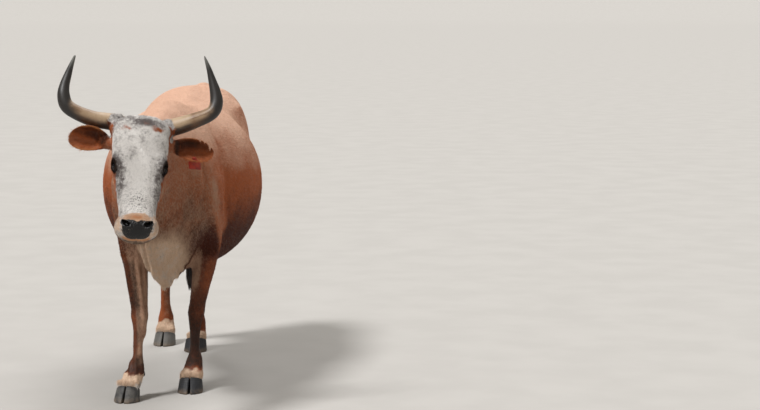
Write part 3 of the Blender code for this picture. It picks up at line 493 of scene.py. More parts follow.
def headForm(bm):
    rings = []
    for down, front, level, back, half, above, below in between(headSections, 6):
        outline = section(-front, -level, -back, half, above, below, 64)
        rings.append([facePoint(side, down, -depth) for side, depth in outline])
    loftInto(bm, rings)
    for side in (-1, 1):
        ballInto(bm, eyeCentre(side), (eyeSet["radius"] + 0.0062,) * 3, headTurn)
        for (sideways, down, depth), radii in sideBalls:
            ballInto(bm, facePoint(side * sideways, down, depth), radii, headTurn)
        root, way, _, _ = earAxes(side)
        stump = (
            (*facePoint(side * 0.070, 0.082, 0.085), 0.034), (*facePoint(side * 0.108, 0.078, 0.088), 0.027),
            (*root, 0.0235), (*(root + way * 0.016), 0.0235), (*(root + way * 0.030), 0.018),
        )
        tubeInto(bm, between(stump, 4), 24)
        start = collarSet["from"][side]
        collar = []
        for i, row in enumerate(hornRows(side, 8)[start:start + collarSet["rows"]]):
            share = (i / 7) ** 2
            radius = row[3] + collarSet["proud"] * max(0.0, 1 - share) - collarSet["sunk"] * share
            collar.append((*row[:3], radius))
        tubeInto(bm, collar, 24)
    for place, radii in middleBalls:
        ballInto(bm, facePoint(*place), radii, headTurn)


def cadShell(names, push):  # copies of the nodes in one mesh, each grown a little so that the cuts close
    whole = bmesh.new()
    for name in names:
        part = bmesh.new()
        part.from_mesh(nodes[name].data)
        bmesh.ops.remove_doubles(part, verts=part.verts, dist=2e-5)
        bmesh.ops.recalc_face_normals(part, faces=part.faces)
        part.normal_update()
        for v in part.verts:
            v.co += v.normal * push
        mesh = bpy.data.meshes.new("part")
        part.to_mesh(mesh)
        part.free()
        whole.from_mesh(mesh)
        bpy.data.meshes.remove(mesh)
    return whole


fleshNodes = [
    "head", "neck", "torso", "udder", "foreleg_left", "foreleg_right", "hindleg_left", "hindleg_right", "tail"
]
bm = bmesh.new()
headForm(bm)
nape = (  # the start of the neck: y, sideways, top, level, bottom, half width, two roundnesses
    (-1.015, -0.036, 1.130, 1.055, 0.893, 0.052, 2.0, 1.9), (-0.950, -0.034, 1.148, 1.039, 0.838, 0.078, 2.0, 1.8),
    (-0.860, -0.030, 1.148, 1.008, 0.772, 0.092, 1.9, 1.7),
)
rings = []
for y, x, top, level, bottom, half, above, below in between(nape, 5):
    rings.append([at(x + s, y, h) for s, h in section(top, level, bottom, half, above, below, 40)])
loftInto(bm, rings)
headTarget = remesh(pieceFrom("headTarget", bm), skinSet["headVoxel"], 7)
print("head form,", len(headTarget.data.vertices), "points")

bm = cadShell(fleshNodes, skinSet["push"])
headForm(bm)
toeRows = ((0.0215, 0.018, 0.085, 0.0225), (0.0230, 0.018, 0.055, 0.0205), (0.0235, 0.008, 0.030, 0.0150))
for leg in feet:  # the toes go on inside the claws
    footPlace = footFrame(leg)
    for side in (-1, 1):
        rows = between([(side * x, y, z, radius) for x, y, z, radius in toeRows], 3)
        tubeInto(bm, [(*(footPlace @ Vector(r[:3])), r[3]) for r in rows], 16)
skin = remesh(pieceFrom("skin", bm), skinSet["voxel"])
print("skin remeshed,", len(skin.data.vertices), "points")


def relax(piece, rounds, inward, outward, share):  # smoothing; outward undoes the shrinking where it is set
    mesh = piece.data
    places = placesOf(mesh)
    edges = np.empty(len(mesh.edges) * 2, np.int32)
    mesh.edges.foreach_get("vertices", edges)
    a, b = edges[0::2], edges[1::2]
    count = len(places)
    degree = np.bincount(a, minlength=count) + np.bincount(b, minlength=count)
    degree = np.maximum(degree, 1)[:, None]

    def pull():
        total = np.empty_like(places)
        for axis in range(3):
            v = places[:, axis]
            total[:, axis] = np.bincount(a, v[b], count) + np.bincount(b, v[a], count)
        return total / degree - places

    for _ in range(rounds):
        places += pull() * (inward * share)[:, None]
        if outward:
            places -= pull() * (outward * share)[:, None]
    putPlaces(mesh, places)


def rawOf(places):  # back to the numbers that the forms are written in
    return places - np.array(shift)


legLines = {
    "foreleg_right": (
        (0.820, -0.158, -0.530), (0.680, -0.160, -0.490), (0.560, -0.147, -0.505), (0.338, -0.122, -0.545),
        (0.200, -0.131, -0.560), (0.125, -0.142, -0.566), (0.062, -0.163, -0.600), (0.000, -0.171, -0.622)
    ),
    "foreleg_left": (
        (0.820, 0.142, -0.505), (0.680, 0.147, -0.455), (0.560, 0.136, -0.440), (0.330, 0.093, -0.410),
        (0.200, 0.085, -0.395), (0.120, 0.081, -0.388), (0.062, 0.072, -0.420), (0.000, 0.068, -0.440)
    ),
    "hindleg_right": (
        (0.780, -0.118, 0.480), (0.660, -0.130, 0.520), (0.560, -0.138, 0.610), (0.480, -0.145, 0.672),
        (0.380, -0.155, 0.690), (0.250, -0.163, 0.705), (0.128, -0.164, 0.722), (0.062, -0.165, 0.690),
        (0.000, -0.167, 0.668)
    ),
    "hindleg_left": (
        (0.780, 0.150, 0.440), (0.660, 0.138, 0.455), (0.560, 0.102, 0.510), (0.480, 0.064, 0.550),
        (0.380, 0.036, 0.556), (0.250, 0.016, 0.556), (0.128, 0.004, 0.560), (0.062, 0.000, 0.526),
        (0.000, -0.004, 0.505)
    ),
}
tailLine = (
    (0.030, 0.725, 1.190), (0.026, 0.785, 1.135), (0.016, 0.812, 1.040), (0.002, 0.815, 0.900),
    (-0.014, 0.808, 0.740), (-0.028, 0.798, 0.600), (-0.036, 0.790, 0.500), (-0.040, 0.784, 0.440)
)


def gapToLegs(raw):  # distance to the nearest leg's line
    near = np.full(len(raw), 9.0)
    for line in legLines.values():
        gap, _ = nearLine(raw, [(x, y, z) for z, x, y in line])
        near = np.minimum(near, gap)
    return near


def legShare(raw):  # 1 on the lower legs, 0 on the trunk
    return ease(0.66, 0.50, raw[:, 2]) * ease(0.14, 0.09, gapToLegs(raw))


raw = rawOf(placesOf(skin.data))
onLeg = legShare(raw)
tailGap, _ = nearLine(raw, tailLine)
onTail = ease(0.05, 0.03, tailGap) * (raw[:, 1] > 0.74)
onHead = ease(-0.90, -0.96, raw[:, 1])
thinPart = np.clip(onLeg + onTail + onHead, 0, 1)
relax(skin, 26, 0.62, 0.64, np.clip(thinPart + 0.2, 0, 1))
relax(skin, 26, 0.5, 0, 1 - thinPart)
relax(skin, 3, 0.5, 0, thinPart)
print("skin smoothed")


def refine(piece, pick):
    bm = bmesh.new()
    bm.from_mesh(piece.data)
    chosen = pick(placesOf(piece.data))
    edges = [e for e in bm.edges if chosen[e.verts[0].index] and chosen[e.verts[1].index]]
    bmesh.ops.subdivide_edges(bm, edges=edges, cuts=1, use_grid_fill=True)
    bm.to_mesh(piece.data)
    bm.free()


def ontoHead(piece):  # lays the head's part of the skin on the finer head form
    places = placesOf(piece.data)
    share = ease(-0.885, -0.935, rawOf(places)[:, 1])
    group = piece.vertex_groups.new(name="headPart")
    for i in np.nonzero(share > 0.001)[0].tolist():
        group.add([i], float(share[i]), "REPLACE")
    wrap = piece.modifiers.new("wrap", "SHRINKWRAP")
    wrap.wrap_method = "NEAREST_SURFACEPOINT"
    wrap.target = headTarget
    wrap.vertex_group = "headPart"
    settle(piece)
    piece.vertex_groups.clear()


mouthLine = (
    (-0.004, 0.560, 0.104), (0.030, 0.550, 0.103), (0.075, 0.520, 0.101), (0.110, 0.465, 0.099),
    (0.120, 0.420, 0.099), (0.120, 0.385, 0.102), (0.120, 0.352, 0.108)
)


def headPick(places):
    return rawOf(places)[:, 1] < -0.93


def gapToEyes(places):
    return np.minimum(*[np.linalg.norm(places - np.array(eyeCentre(side)), axis=1) for side in (-1, 1)])


def finePick(places):
    _, d, p = faceOf(places)
    eyes = gapToEyes(places) < 0.056
    return (rawOf(places)[:, 1] < -0.93) & (eyes | ((d > 0.385) & (p < 0.13)))


def finestPick(places):
    s, d, p = faceOf(places)
    eyes = gapToEyes(places) < 0.040
    nostrils = (np.abs(np.abs(s) - 0.050) < 0.034) & (d > 0.405) & (d < 0.475) & (p < 0.06)
    lips = (d > 0.40) & (np.abs(p - 0.102) < 0.012)
    return eyes | nostrils | lips


refine(skin, headPick)
ontoHead(skin)
refine(skin, finePick)
ontoHead(skin)
refine(skin, finestPick)
ontoHead(skin)
bpy.data.objects.remove(headTarget)
skin.data.shade_smooth()
print("skin refined,", len(skin.data.vertices), "points")

# what the skin adds: bones, folds, mouth, nostrils

skinTree = BVHTree.FromObject(skin, bpy.context.evaluated_depsgraph_get())


def openingShare(q, side):  # below 1 between the lids, seen along the look, q from the eye's centre
    _, along, up = (np.array(v) for v in eyeAxes(side))
    a, o = q @ along, q @ up
    return np.hypot(a / eyeSet["half"], o / np.where(o > 0, eyeSet["upper"], eyeSet["lower"]))


def onSkin(start, way, miss=True):  # where the ray meets the skin
    hit, _, _, _ = skinTree.ray_cast(Vector(start), Vector(way).normalized())
    return hit or (Vector(start) if miss else None)


def mouthPoints(side):
    found = []
    for sideways, down, depth in mouthLine:
        start = facePoint(side * sideways, down, depth)
        inner = facePoint(0, min(down - 0.01, 0.44), depth - 0.010)
        found.append(onSkin(start, inner - start))
    return found


def nostrilGap(s, d):  # below 1 inside the two ellipses that join as a comma
    deep = np.full(len(s), 9.0)
    for cs, cd, long, wide, lean in ((0.0415, 0.4465, 0.0160, 0.0112, 62), (0.0500, 0.4390, 0.0100, 0.0064, 28)):
        a = math.radians(lean)
        qs, qd = np.abs(s) - cs, d - cd
        u = qs * math.sin(a) - qd * math.cos(a)
        v = qs * math.cos(a) + qd * math.sin(a)
        deep = np.minimum(deep, np.hypot(u / long, v / wide))
    return deep


faceRidges = (  # both sides: points as sideways, down, depth, then the reach and the height
    (((0.088, 0.245, 0.050), (0.084, 0.290, 0.058), (0.074, 0.345, 0.066)), 0.011, 0.0032),  # cheek bone
    (((0.052, 0.225, 0.002), (0.048, 0.300, 0.006), (0.050, 0.380, 0.014)), 0.011, -0.0026),  # beside the nose
    (((0.100, 0.165, 0.095), (0.102, 0.130, 0.115)), 0.020, -0.0050),  # temple
    (((0.058, 0.172, -0.006), (0.082, 0.160, 0.012), (0.098, 0.172, 0.045)), 0.010, 0.0030),  # brow
    (((0.080, 0.215, 0.190), (0.078, 0.285, 0.155), (0.074, 0.325, 0.120)), 0.012, -0.0038),  # inside the jaw
    (((0.092, 0.140, 0.140), (0.092, 0.215, 0.150), (0.086, 0.270, 0.125)), 0.030, 0.0030),  # cheek
    # vein
    (((0.084, 0.250, 0.090), (0.080, 0.300, 0.094), (0.074, 0.345, 0.088), (0.060, 0.375, 0.060)), 0.0036, 0.0016),
    # nostril
    (((0.034, 0.458, 0.014), (0.054, 0.446, 0.014), (0.068, 0.424, 0.028), (0.062, 0.405, 0.030)), 0.008, 0.0024),
)
bodyRidges = (  # both sides: points as sideways, to her left, y, z, then the reach and the height
    # shoulder
    (((0.070, -0.01, -0.40, 1.19), (0.175, -0.01, -0.47, 1.02), (0.215, -0.01, -0.56, 0.83)), 0.050, 0.0100),
    # behind it
    (((0.120, -0.01, -0.30, 1.13), (0.225, -0.01, -0.34, 0.95), (0.235, -0.01, -0.36, 0.74)), 0.030, -0.0120),
    # before it
    (((0.140, -0.02, -0.66, 1.05), (0.175, -0.01, -0.665, 0.90), (0.165, -0.01, -0.655, 0.70)), 0.016, -0.0080),
    # neck folds
    (((0.090, -0.02, -0.76, 1.02), (0.120, -0.02, -0.75, 0.88), (0.100, -0.02, -0.72, 0.74)), 0.020, -0.0045),
    (((0.070, -0.03, -0.85, 1.02), (0.090, -0.03, -0.86, 0.90), (0.060, -0.03, -0.84, 0.78)), 0.018, -0.0035),
    (((0.250, 0.0, 0.28, 0.72), (0.265, 0.0, 0.24, 0.84), (0.260, 0.0, 0.22, 0.96)), 0.022, -0.0060),  # flank
    (((0.235, 0.0, 0.32, 0.66), (0.262, 0.0, 0.29, 0.80), (0.262, 0.0, 0.28, 0.92)), 0.022, 0.0070),
    (((0.160, 0.02, 0.40, 1.13), (0.200, 0.02, 0.45, 0.98), (0.210, 0.015, 0.47, 0.80)), 0.045, 0.0060),  # thigh
    (((0.130, 0.02, 0.62, 1.04), (0.170, 0.02, 0.60, 0.90), (0.165, 0.01, 0.585, 0.72)), 0.030, -0.0070),
    (((0.150, 0.0, -0.28, 0.475), (0.160, 0.0, -0.05, 0.462), (0.120, 0.0, 0.18, 0.475)), 0.009, 0.0050),  # milk vein
)
keelLine = ((0.458, 0.517, 0.592, 0.670, 0.800), (-0.020, -0.078, -0.086, -0.0935, -0.070))  # the dewlap: z, x


def waves(along, pitch, wander=0.0):
    return np.sin(2 * math.pi * along / pitch + wander)


def foldsOf(places, wander):  # small ones over the nostrils, on the chin and round the eyes
    s, d, p = faceOf(places)
    overNose = ease(0.400, 0.412, d) * ease(0.440, 0.428, d) * ease(0.020, 0.034, np.abs(s)) * (p < 0.05)
    fold = overNose * 0.00045 * waves(d + 0.25 * np.abs(s), 0.0070, 2.4 * wander)
    cheek = ease(0.36, 0.39, d) * ease(0.44, 0.42, d) * (p > 0.03) * (p < 0.10)
    fold += cheek * 0.0005 * waves(d - 0.6 * p, 0.0095, 2.4 * wander)
    brow = ease(0.150, 0.165, d) * ease(0.190, 0.178, d) * ease(0.05, 0.065, np.abs(s)) * (p < 0.06)
    fold += brow * 0.0005 * waves(d + 0.35 * np.abs(s), 0.0068, 2.4 * wander)
    for side in (-1, 1):
        q = places - np.array(eyeCentre(side))
        look, along, up = (np.array(v) for v in eyeAxes(side))
        around = np.linalg.norm(np.stack([q @ along, q @ up]), axis=0)
        ring = ease(0.022, 0.027, around) * ease(0.046, 0.036, around) * ((q @ look) > 0)
        lobes = 2.0 * np.sin(3 * np.arctan2(q @ up, q @ along)) + 1.5 * wander
        fold += ring * 0.0006 * waves(around, 0.0056, lobes)
    return fold


def trunkForms(raw, normals, wander):  # dewlap, ribs, and the folds of brisket and throat
    x, y, z = raw.T
    keel = np.interp(z, *keelLine)
    hung = (
        ease(-0.50, -0.56, y) * (y > -0.92) * ease(0.45, 0.48, z) * ease(0.84, 0.76, z)
        * ease(0.1, -0.3, normals[:, 1])
    )
    yield hung * (0.0100 * gauss(x, keel, 0.0085) - 0.0060 * gauss(x, keel + 0.021, 0.010))
    ribs = (
        ease(-0.22, -0.10, y) * ease(0.30, 0.18, y) * ease(0.16, 0.24, np.abs(x)) * ease(0.62, 0.72, z)
        * ease(1.06, 0.98, z)
    )
    yield ribs * 0.0009 * waves(y - 0.22 * z, 0.062, 0.8 * wander)
    brisket = ease(0.60, 0.54, z) * ease(-0.48, -0.56, y) * (y > -0.80)
    yield brisket * 0.0028 * waves(x + 0.10 * z, 0.026)
    throat = ease(-0.66, -0.72, y) * (y > -0.95) * ease(0.86, 0.76, z)
    yield throat * 0.0030 * waves(y * 0.6 + z * 0.25, 0.034)


def aroundLeg(raw, leg):  # how far each place is from the middle of the leg at its height
    x, y, z = raw.T
    heights, xs, ys = (row[::-1] for row in zip(*legLines[leg]))
    return x - np.interp(z, heights, xs), y - np.interp(z, heights, ys)


def legForms(raw, leg):  # tendons, knees, hocks and fetlocks
    z = raw[:, 2]
    dx, dy = aroundLeg(raw, leg)
    near = np.hypot(dx, dy) < 0.085
    cannon = near * ease(0.135, 0.165, z) * ease(0.315, 0.28, z)
    yield -cannon * 0.0040 * gauss(dy, 0.008, 0.0055) * ease(0.006, 0.014, np.abs(dx))
    if "fore" in leg:
        knee = near * gauss(z, 0.335, 0.030)
        yield knee * (0.0028 * ease(-0.010, -0.030, dy) + 0.0020 * ease(0.02, 0.03, np.abs(dx)))
        yield near * ease(0.36, 0.345, z) * ease(0.30, 0.315, z) * 0.0007 * waves(z, 0.0085) * (dy < 0)
        yield near * 0.006 * gauss(z, 0.64, 0.030) * ease(0.03, 0.06, dy)
        yield -(near * ease(0.40, 0.44, z) * ease(0.60, 0.54, z) * 0.0035 * gauss(dy, -0.004, 0.010))
    else:
        yield near * 0.0050 * gauss(z, 0.500, 0.022) * ease(0.02, 0.045, dy)
        yield -(near * ease(0.50, 0.54, z) * ease(0.66, 0.60, z) * 0.0065 * gauss(dy, 0.028, 0.011))
        yield near * gauss(z, 0.47, 0.030) * 0.0018 * ease(0.018, 0.030, np.abs(dx))
    yield near * gauss(z, 0.125, 0.020) * 0.0012
    yield near * ease(0.112, 0.100, z) * ease(0.074, 0.084, z) * 0.0007 * waves(z, 0.0080)


def sculptSkin(piece):
    mesh = piece.data
    places, normals = placesOf(mesh), normalsOf(mesh)
    raw = rawOf(places)
    s, d, p = faceOf(places)
    push = np.zeros(len(places))
    head, body = np.nonzero(raw[:, 1] < -0.90)[0], np.nonzero(raw[:, 1] > -0.98)[0]

    def ridge(where, line, reach, amount):
        gap, share = nearLine(places[where], line)
        push[where] += amount * gauss(gap, 0, reach) * np.clip(np.sin(np.pi * np.clip(share, 0.04, 0.96)) * 2.2, 0, 1)

    for side in (-1, 1):
        for line, reach, amount in faceRidges:
            ridge(head, [facePoint(side * sideways, down, depth) for sideways, down, depth in line], reach, amount)
        mouth = mouthPoints(side)
        ridge(head, mouth, 0.013, 0.0016)
        gap, share = nearLine(places[head], mouth)
        push[head] -= 0.0056 * gauss(gap, 0, 0.0030) * ease(1.0, 0.93, share)
    wander = cloud(places, 0.020, 3)
    push += foldsOf(places, wander)
    push -= 0.0022 * gauss(s, 0, 0.0026) * ease(0.458, 0.470, d) * (p < 0.09)  # the upper lip's middle line
    for side in (-1, 1):
        for line, reach, amount in bodyRidges:
            ridge(body, [at(side * sideways + left, y, z) for sideways, left, y, z in line], reach, amount)
    for form in trunkForms(raw, normals, wander):
        push += form
    for leg in legLines:
        for form in legForms(raw, leg):
            push += form
    places += normals * push[:, None]
    move = np.zeros_like(places)
    # nostrils: two ellipses that join as a comma, pushed into the muzzle
    inward = np.array(headTurn.to_3x3() @ Vector((0, 1, 0)))
    for side in (-1, 1):
        deep = np.where(s * side > 0, nostrilGap(s, d), 9.0)
        hole = ease(1.02, 0.55, deep) * (p < 0.055)
        into = inward * 0.80 + np.array(headTurn.to_3x3() @ Vector((-side * 0.45, 0, 0.30)))
        move += (hole * 0.021)[:, None] * into
        move += normals * (gauss(deep, 1.22, 0.20) * (p < 0.055) * 0.0016)[:, None]
    # the skin gives way inside the lids; the lids themselves are laid on after
    for side in (-1, 1):
        q = places - np.array(eyeCentre(side))
        look = np.array(eyeAxes(side)[0])
        own = ((q @ look) > 0) * (np.linalg.norm(q, axis=1) < 0.05)
        move -= (ease(1.40, 1.05, openingShare(q, side)) * own * 0.016)[:, None] * look
    putPlaces(mesh, places + move)


def coatDepth(places):  # how far the skin lies inside the outline of the hair
    raw = rawOf(places)
    _, d, _ = faceOf(places)
    depth = np.full(len(places), 0.0026)
    depth = np.where(raw[:, 2] < 0.52, 0.0016, depth)
    depth += (0.0009 - depth) * ease(-0.90, -0.97, raw[:, 1])
    return depth * ease(0.462, 0.425, d) + 0.0001


def sinkSkin(piece):
    mesh = piece.data
    places = placesOf(mesh)
    depth = coatDepth(places)
    depth = np.where(rawOf(places)[:, 1] > -0.90, np.maximum(depth, 0.0012), depth)
    putPlaces(mesh, places - normalsOf(mesh) * depth[:, None])


sculptSkin(skin)
sinkSkin(skin)
print("skin sculpted")

# lids


def makeLids(side):
    look, along, up = eyeAxes(side)
    centre = eyeCentre(side)
    radius = eyeSet["radius"]
    # share of the opening's outline, height over the ball, share of the way out to the skin, lift
    profile = (
        (0.86, -0.0016, 0.0, 0.0), (0.94, 0.0001, 0.0, 0.0), (0.985, 0.0006, 0.0, 0.0), (1.02, 0.0016, 0.0, 0.0),
        (1.07, 0.0026, 0.02, 0.0), (1.14, 0.0031, 0.08, 0.0), (1.22, 0.0032, 0.22, 0.0),
        (1.30, 0.0032, 0.36, -0.0007),
        (1.38, 0.0032, 0.60, 0.0), (1.50, 0.0034, 0.82, 0.0008), (1.64, 0.0034, 0.95, 0.0009),
        (1.80, 0.0034, 1.0, 0.0004),
        (1.95, 0.0034, 1.0, -0.0006), (2.10, 0.0034, 1.0, -0.0022),
    )
    count = 96
    rings = []
    for scale, over, share, lift in profile:
        ring = []
        for k in range(count):
            angle = 2 * math.pi * k / count
            height = eyeSet["upper"] if math.sin(angle) >= 0 else eyeSet["lower"]
            reach = scale ** 0.62 if scale > 1 else scale
            a = eyeSet["half"] * math.cos(angle) * reach * (1 + 0.10 * max(0.0, math.cos(angle)) ** 8)
            o = height * math.copysign(abs(math.sin(angle)) ** 1.2, math.sin(angle)) * scale
            ball = math.sqrt(max(0.0, radius * radius - a * a - o * o)) if a * a + o * o < radius * radius else 0.0
            w = max(ball, 0.0045) + over
            start = centre + along * a + up * o + look * 0.06
            hit = onSkin(start, -look)
            skinHeight = (hit - centre).dot(look) - 0.0010
            w = w + (skinHeight - w) * share + lift * (1.0 + 0.8 * max(0.0, math.sin(angle)))
            ring.append(centre + along * a + up * o + look * w)
        rings.append(ring)
    bm = bmesh.new()
    loftInto(bm, rings, ends=False)
    bm.normal_update()
    middle = sum((f.normal for f in bm.faces), Vector())
    if middle.dot(look) < 0:
        bmesh.ops.reverse_faces(bm, faces=bm.faces)
    mesh = bpy.data.meshes.new("lids")
    bm.to_mesh(mesh)
    bm.free()
    made = bpy.data.objects.new("lids", mesh)
    bpy.context.scene.collection.objects.link(made)
    mesh.shade_smooth()
    return made


# ears


def earHalf(share, side):  # half width of the ear, from root to tip
    rise = 0.52 + 0.48 * np.sin(np.minimum(share / 0.55, 1) * np.pi / 2)
    fall = np.where(share < 0.55, 1.0, np.sqrt(np.clip(1 - (np.abs(share - 0.55) / 0.455) ** 2.4, 0, 1)))
    return earSet["width"][side] / 2 * rise * fall


def makeEar(side):
    root, way, face, up = earAxes(side)
    steps, arc = earSet["steps"], earSet["arc"]
    rings = []
    for i in range(-4, steps + 1):
        share = max(i, 0) / steps
        half = float(earHalf(share, side)) * (1 + 0.05 * min(i, 0)) - 0.0006
        opened = min(1.0, max(0.0, (share - 0.05) / 0.26))
        opened = opened * opened * (3 - 2 * opened)
        curl = math.radians(86 - 40 * share)
        half = max(half, 0.0015)
        radius = half / math.sin(curl)
        wall = 0.0062 - 0.0036 * share
        middle = (
            root + way * (share * earSet["length"][side] + 0.005 * min(i, 0))
            - up * (earSet["drop"][side] * share * share)
        )
        outer, inner = [], []
        rim = radius * (1 - math.cos(curl))
        bite = (
            max([depth * max(0.0, 1 - abs(share - spot) / reach) for spot, reach, depth in earSet["bites"]])
            if side > 0 else 0.0
        )
        for k in range(arc + 1):
            swing = curl * (2 * k / arc - 1)
            if swing > 0:
                swing *= 1 - bite  # the worn edge of her left ear
            wave = 0.0010 * math.sin(9 * share + 2.2 * swing) * share
            depth = radius * (1 - math.cos(swing)) - rim * 0.5 + wave
            outer.append(middle + up * (radius * math.sin(swing)) + face * depth)
            hollow = depth + wall * (0.30 + 0.70 * math.cos(swing / curl * math.pi / 2) ** 0.7)
            hollow += (
                0.0024 * math.sin(math.pi * min(1, share * 1.1)) * math.cos(swing / curl * math.pi * 2.5) * opened
            )
            full = rim * 0.5 + wall * 0.4 + 0.006 * math.cos(swing / curl * math.pi / 2) * (1 - share)
            depth = full + (hollow - full) * opened
            narrow = 1 - 0.10 * (1 - opened) - wall * 0.35 / max(half, 0.004)
            inner.append(middle + up * (radius * math.sin(swing) * max(narrow, 0.55)) + face * depth)
        rings.append(outer + list(reversed(inner)))
    bm = bmesh.new()
    loftInto(bm, rings)
    ear = pieceFrom("ear", bm)
    return ear


def joinInto(target, extras):
    bm = bmesh.new()
    bm.from_mesh(target.data)
    for extra in extras:
        bm.from_mesh(extra.data)
        bpy.data.objects.remove(extra)
    bm.to_mesh(target.data)
    bm.free()
    target.data.shade_smooth()


skinTree = BVHTree.FromObject(skin, bpy.context.evaluated_depsgraph_get())
extras = [makeLids(-1), makeLids(1), makeEar(-1), makeEar(1)]
joinInto(skin, extras)
skin.data.materials.clear()
skin.data.materials.append(skinMaterial)
print("lids and ears joined,", len(skin.data.vertices), "points")

# what is painted on the skin, and which way its hair lies


def earShare(places):  # 1 on the ears, how far along them, 1 inside the cup
    on = np.zeros(len(places))
    far = np.zeros(len(places))
    faceSide = np.zeros((len(places), 3))
    for side in (-1, 1):
        root, way, face, up = (np.array(v) for v in earAxes(side))
        q = places - root
        along = q @ way
        here = (along > -0.004) & (np.abs(q @ up) < 0.075) & (np.abs(q @ face) < 0.05) & (q @ way < 0.19)
        on[here] = ease(-0.002, 0.012, along[here])
        far[here] = along[here] / earSet["length"][side]
        faceSide[here] = face
    return on, far, faceSide


legMarks = {  # how dark at each height, how roan and how dark down the side, and the pale pastern with its top
    "foreleg_right": {
        "dark": (
            (0.090, 0.0), (0.112, 0.80), (0.165, 0.74), (0.215, 0.42), (0.33, 0.40), (0.42, 0.50), (0.55, 0.42),
            (0.66, 0.0)
        ),
        "roan": 0.70, "inner": 0.2, "band": 0.78, "reach": 0.010, "lit": 0.12, "pastern": 1.15, "white": 0.60,
        "top": 0.112,
    },
    "foreleg_left": {
        "dark": ((0.086, 0.0), (0.112, 0.80), (0.200, 0.84), (0.300, 0.74), (0.42, 0.62), (0.55, 0.28), (0.70, 0.0)),
        "roan": 0.15, "inner": 0.7, "band": 0.45, "reach": 0.0, "lit": 0.12, "pastern": 0.85, "white": 0.25,
        "top": 0.108,
    },
    "hindleg_right": {
        "dark": ((0.085, 0.0), (0.115, 0.30), (0.170, 0.46), (0.22, 0.20), (0.60, 0.0)),
        "roan": 0.35, "inner": 0.1, "band": 0.1, "reach": 0.0, "lit": 0.22, "pastern": 1.1, "white": 0.45,
        "top": 0.124,
    },
    "hindleg_left": {
        "dark": ((0.085, 0.0), (0.115, 0.55), (0.200, 0.50), (0.40, 0.30), (0.60, 0.0)),
        "roan": 0.25, "inner": 0.1, "band": 0.2, "reach": 0.0, "lit": 0.12, "pastern": 0.9, "white": 0.25,
        "top": 0.112,
    },
}


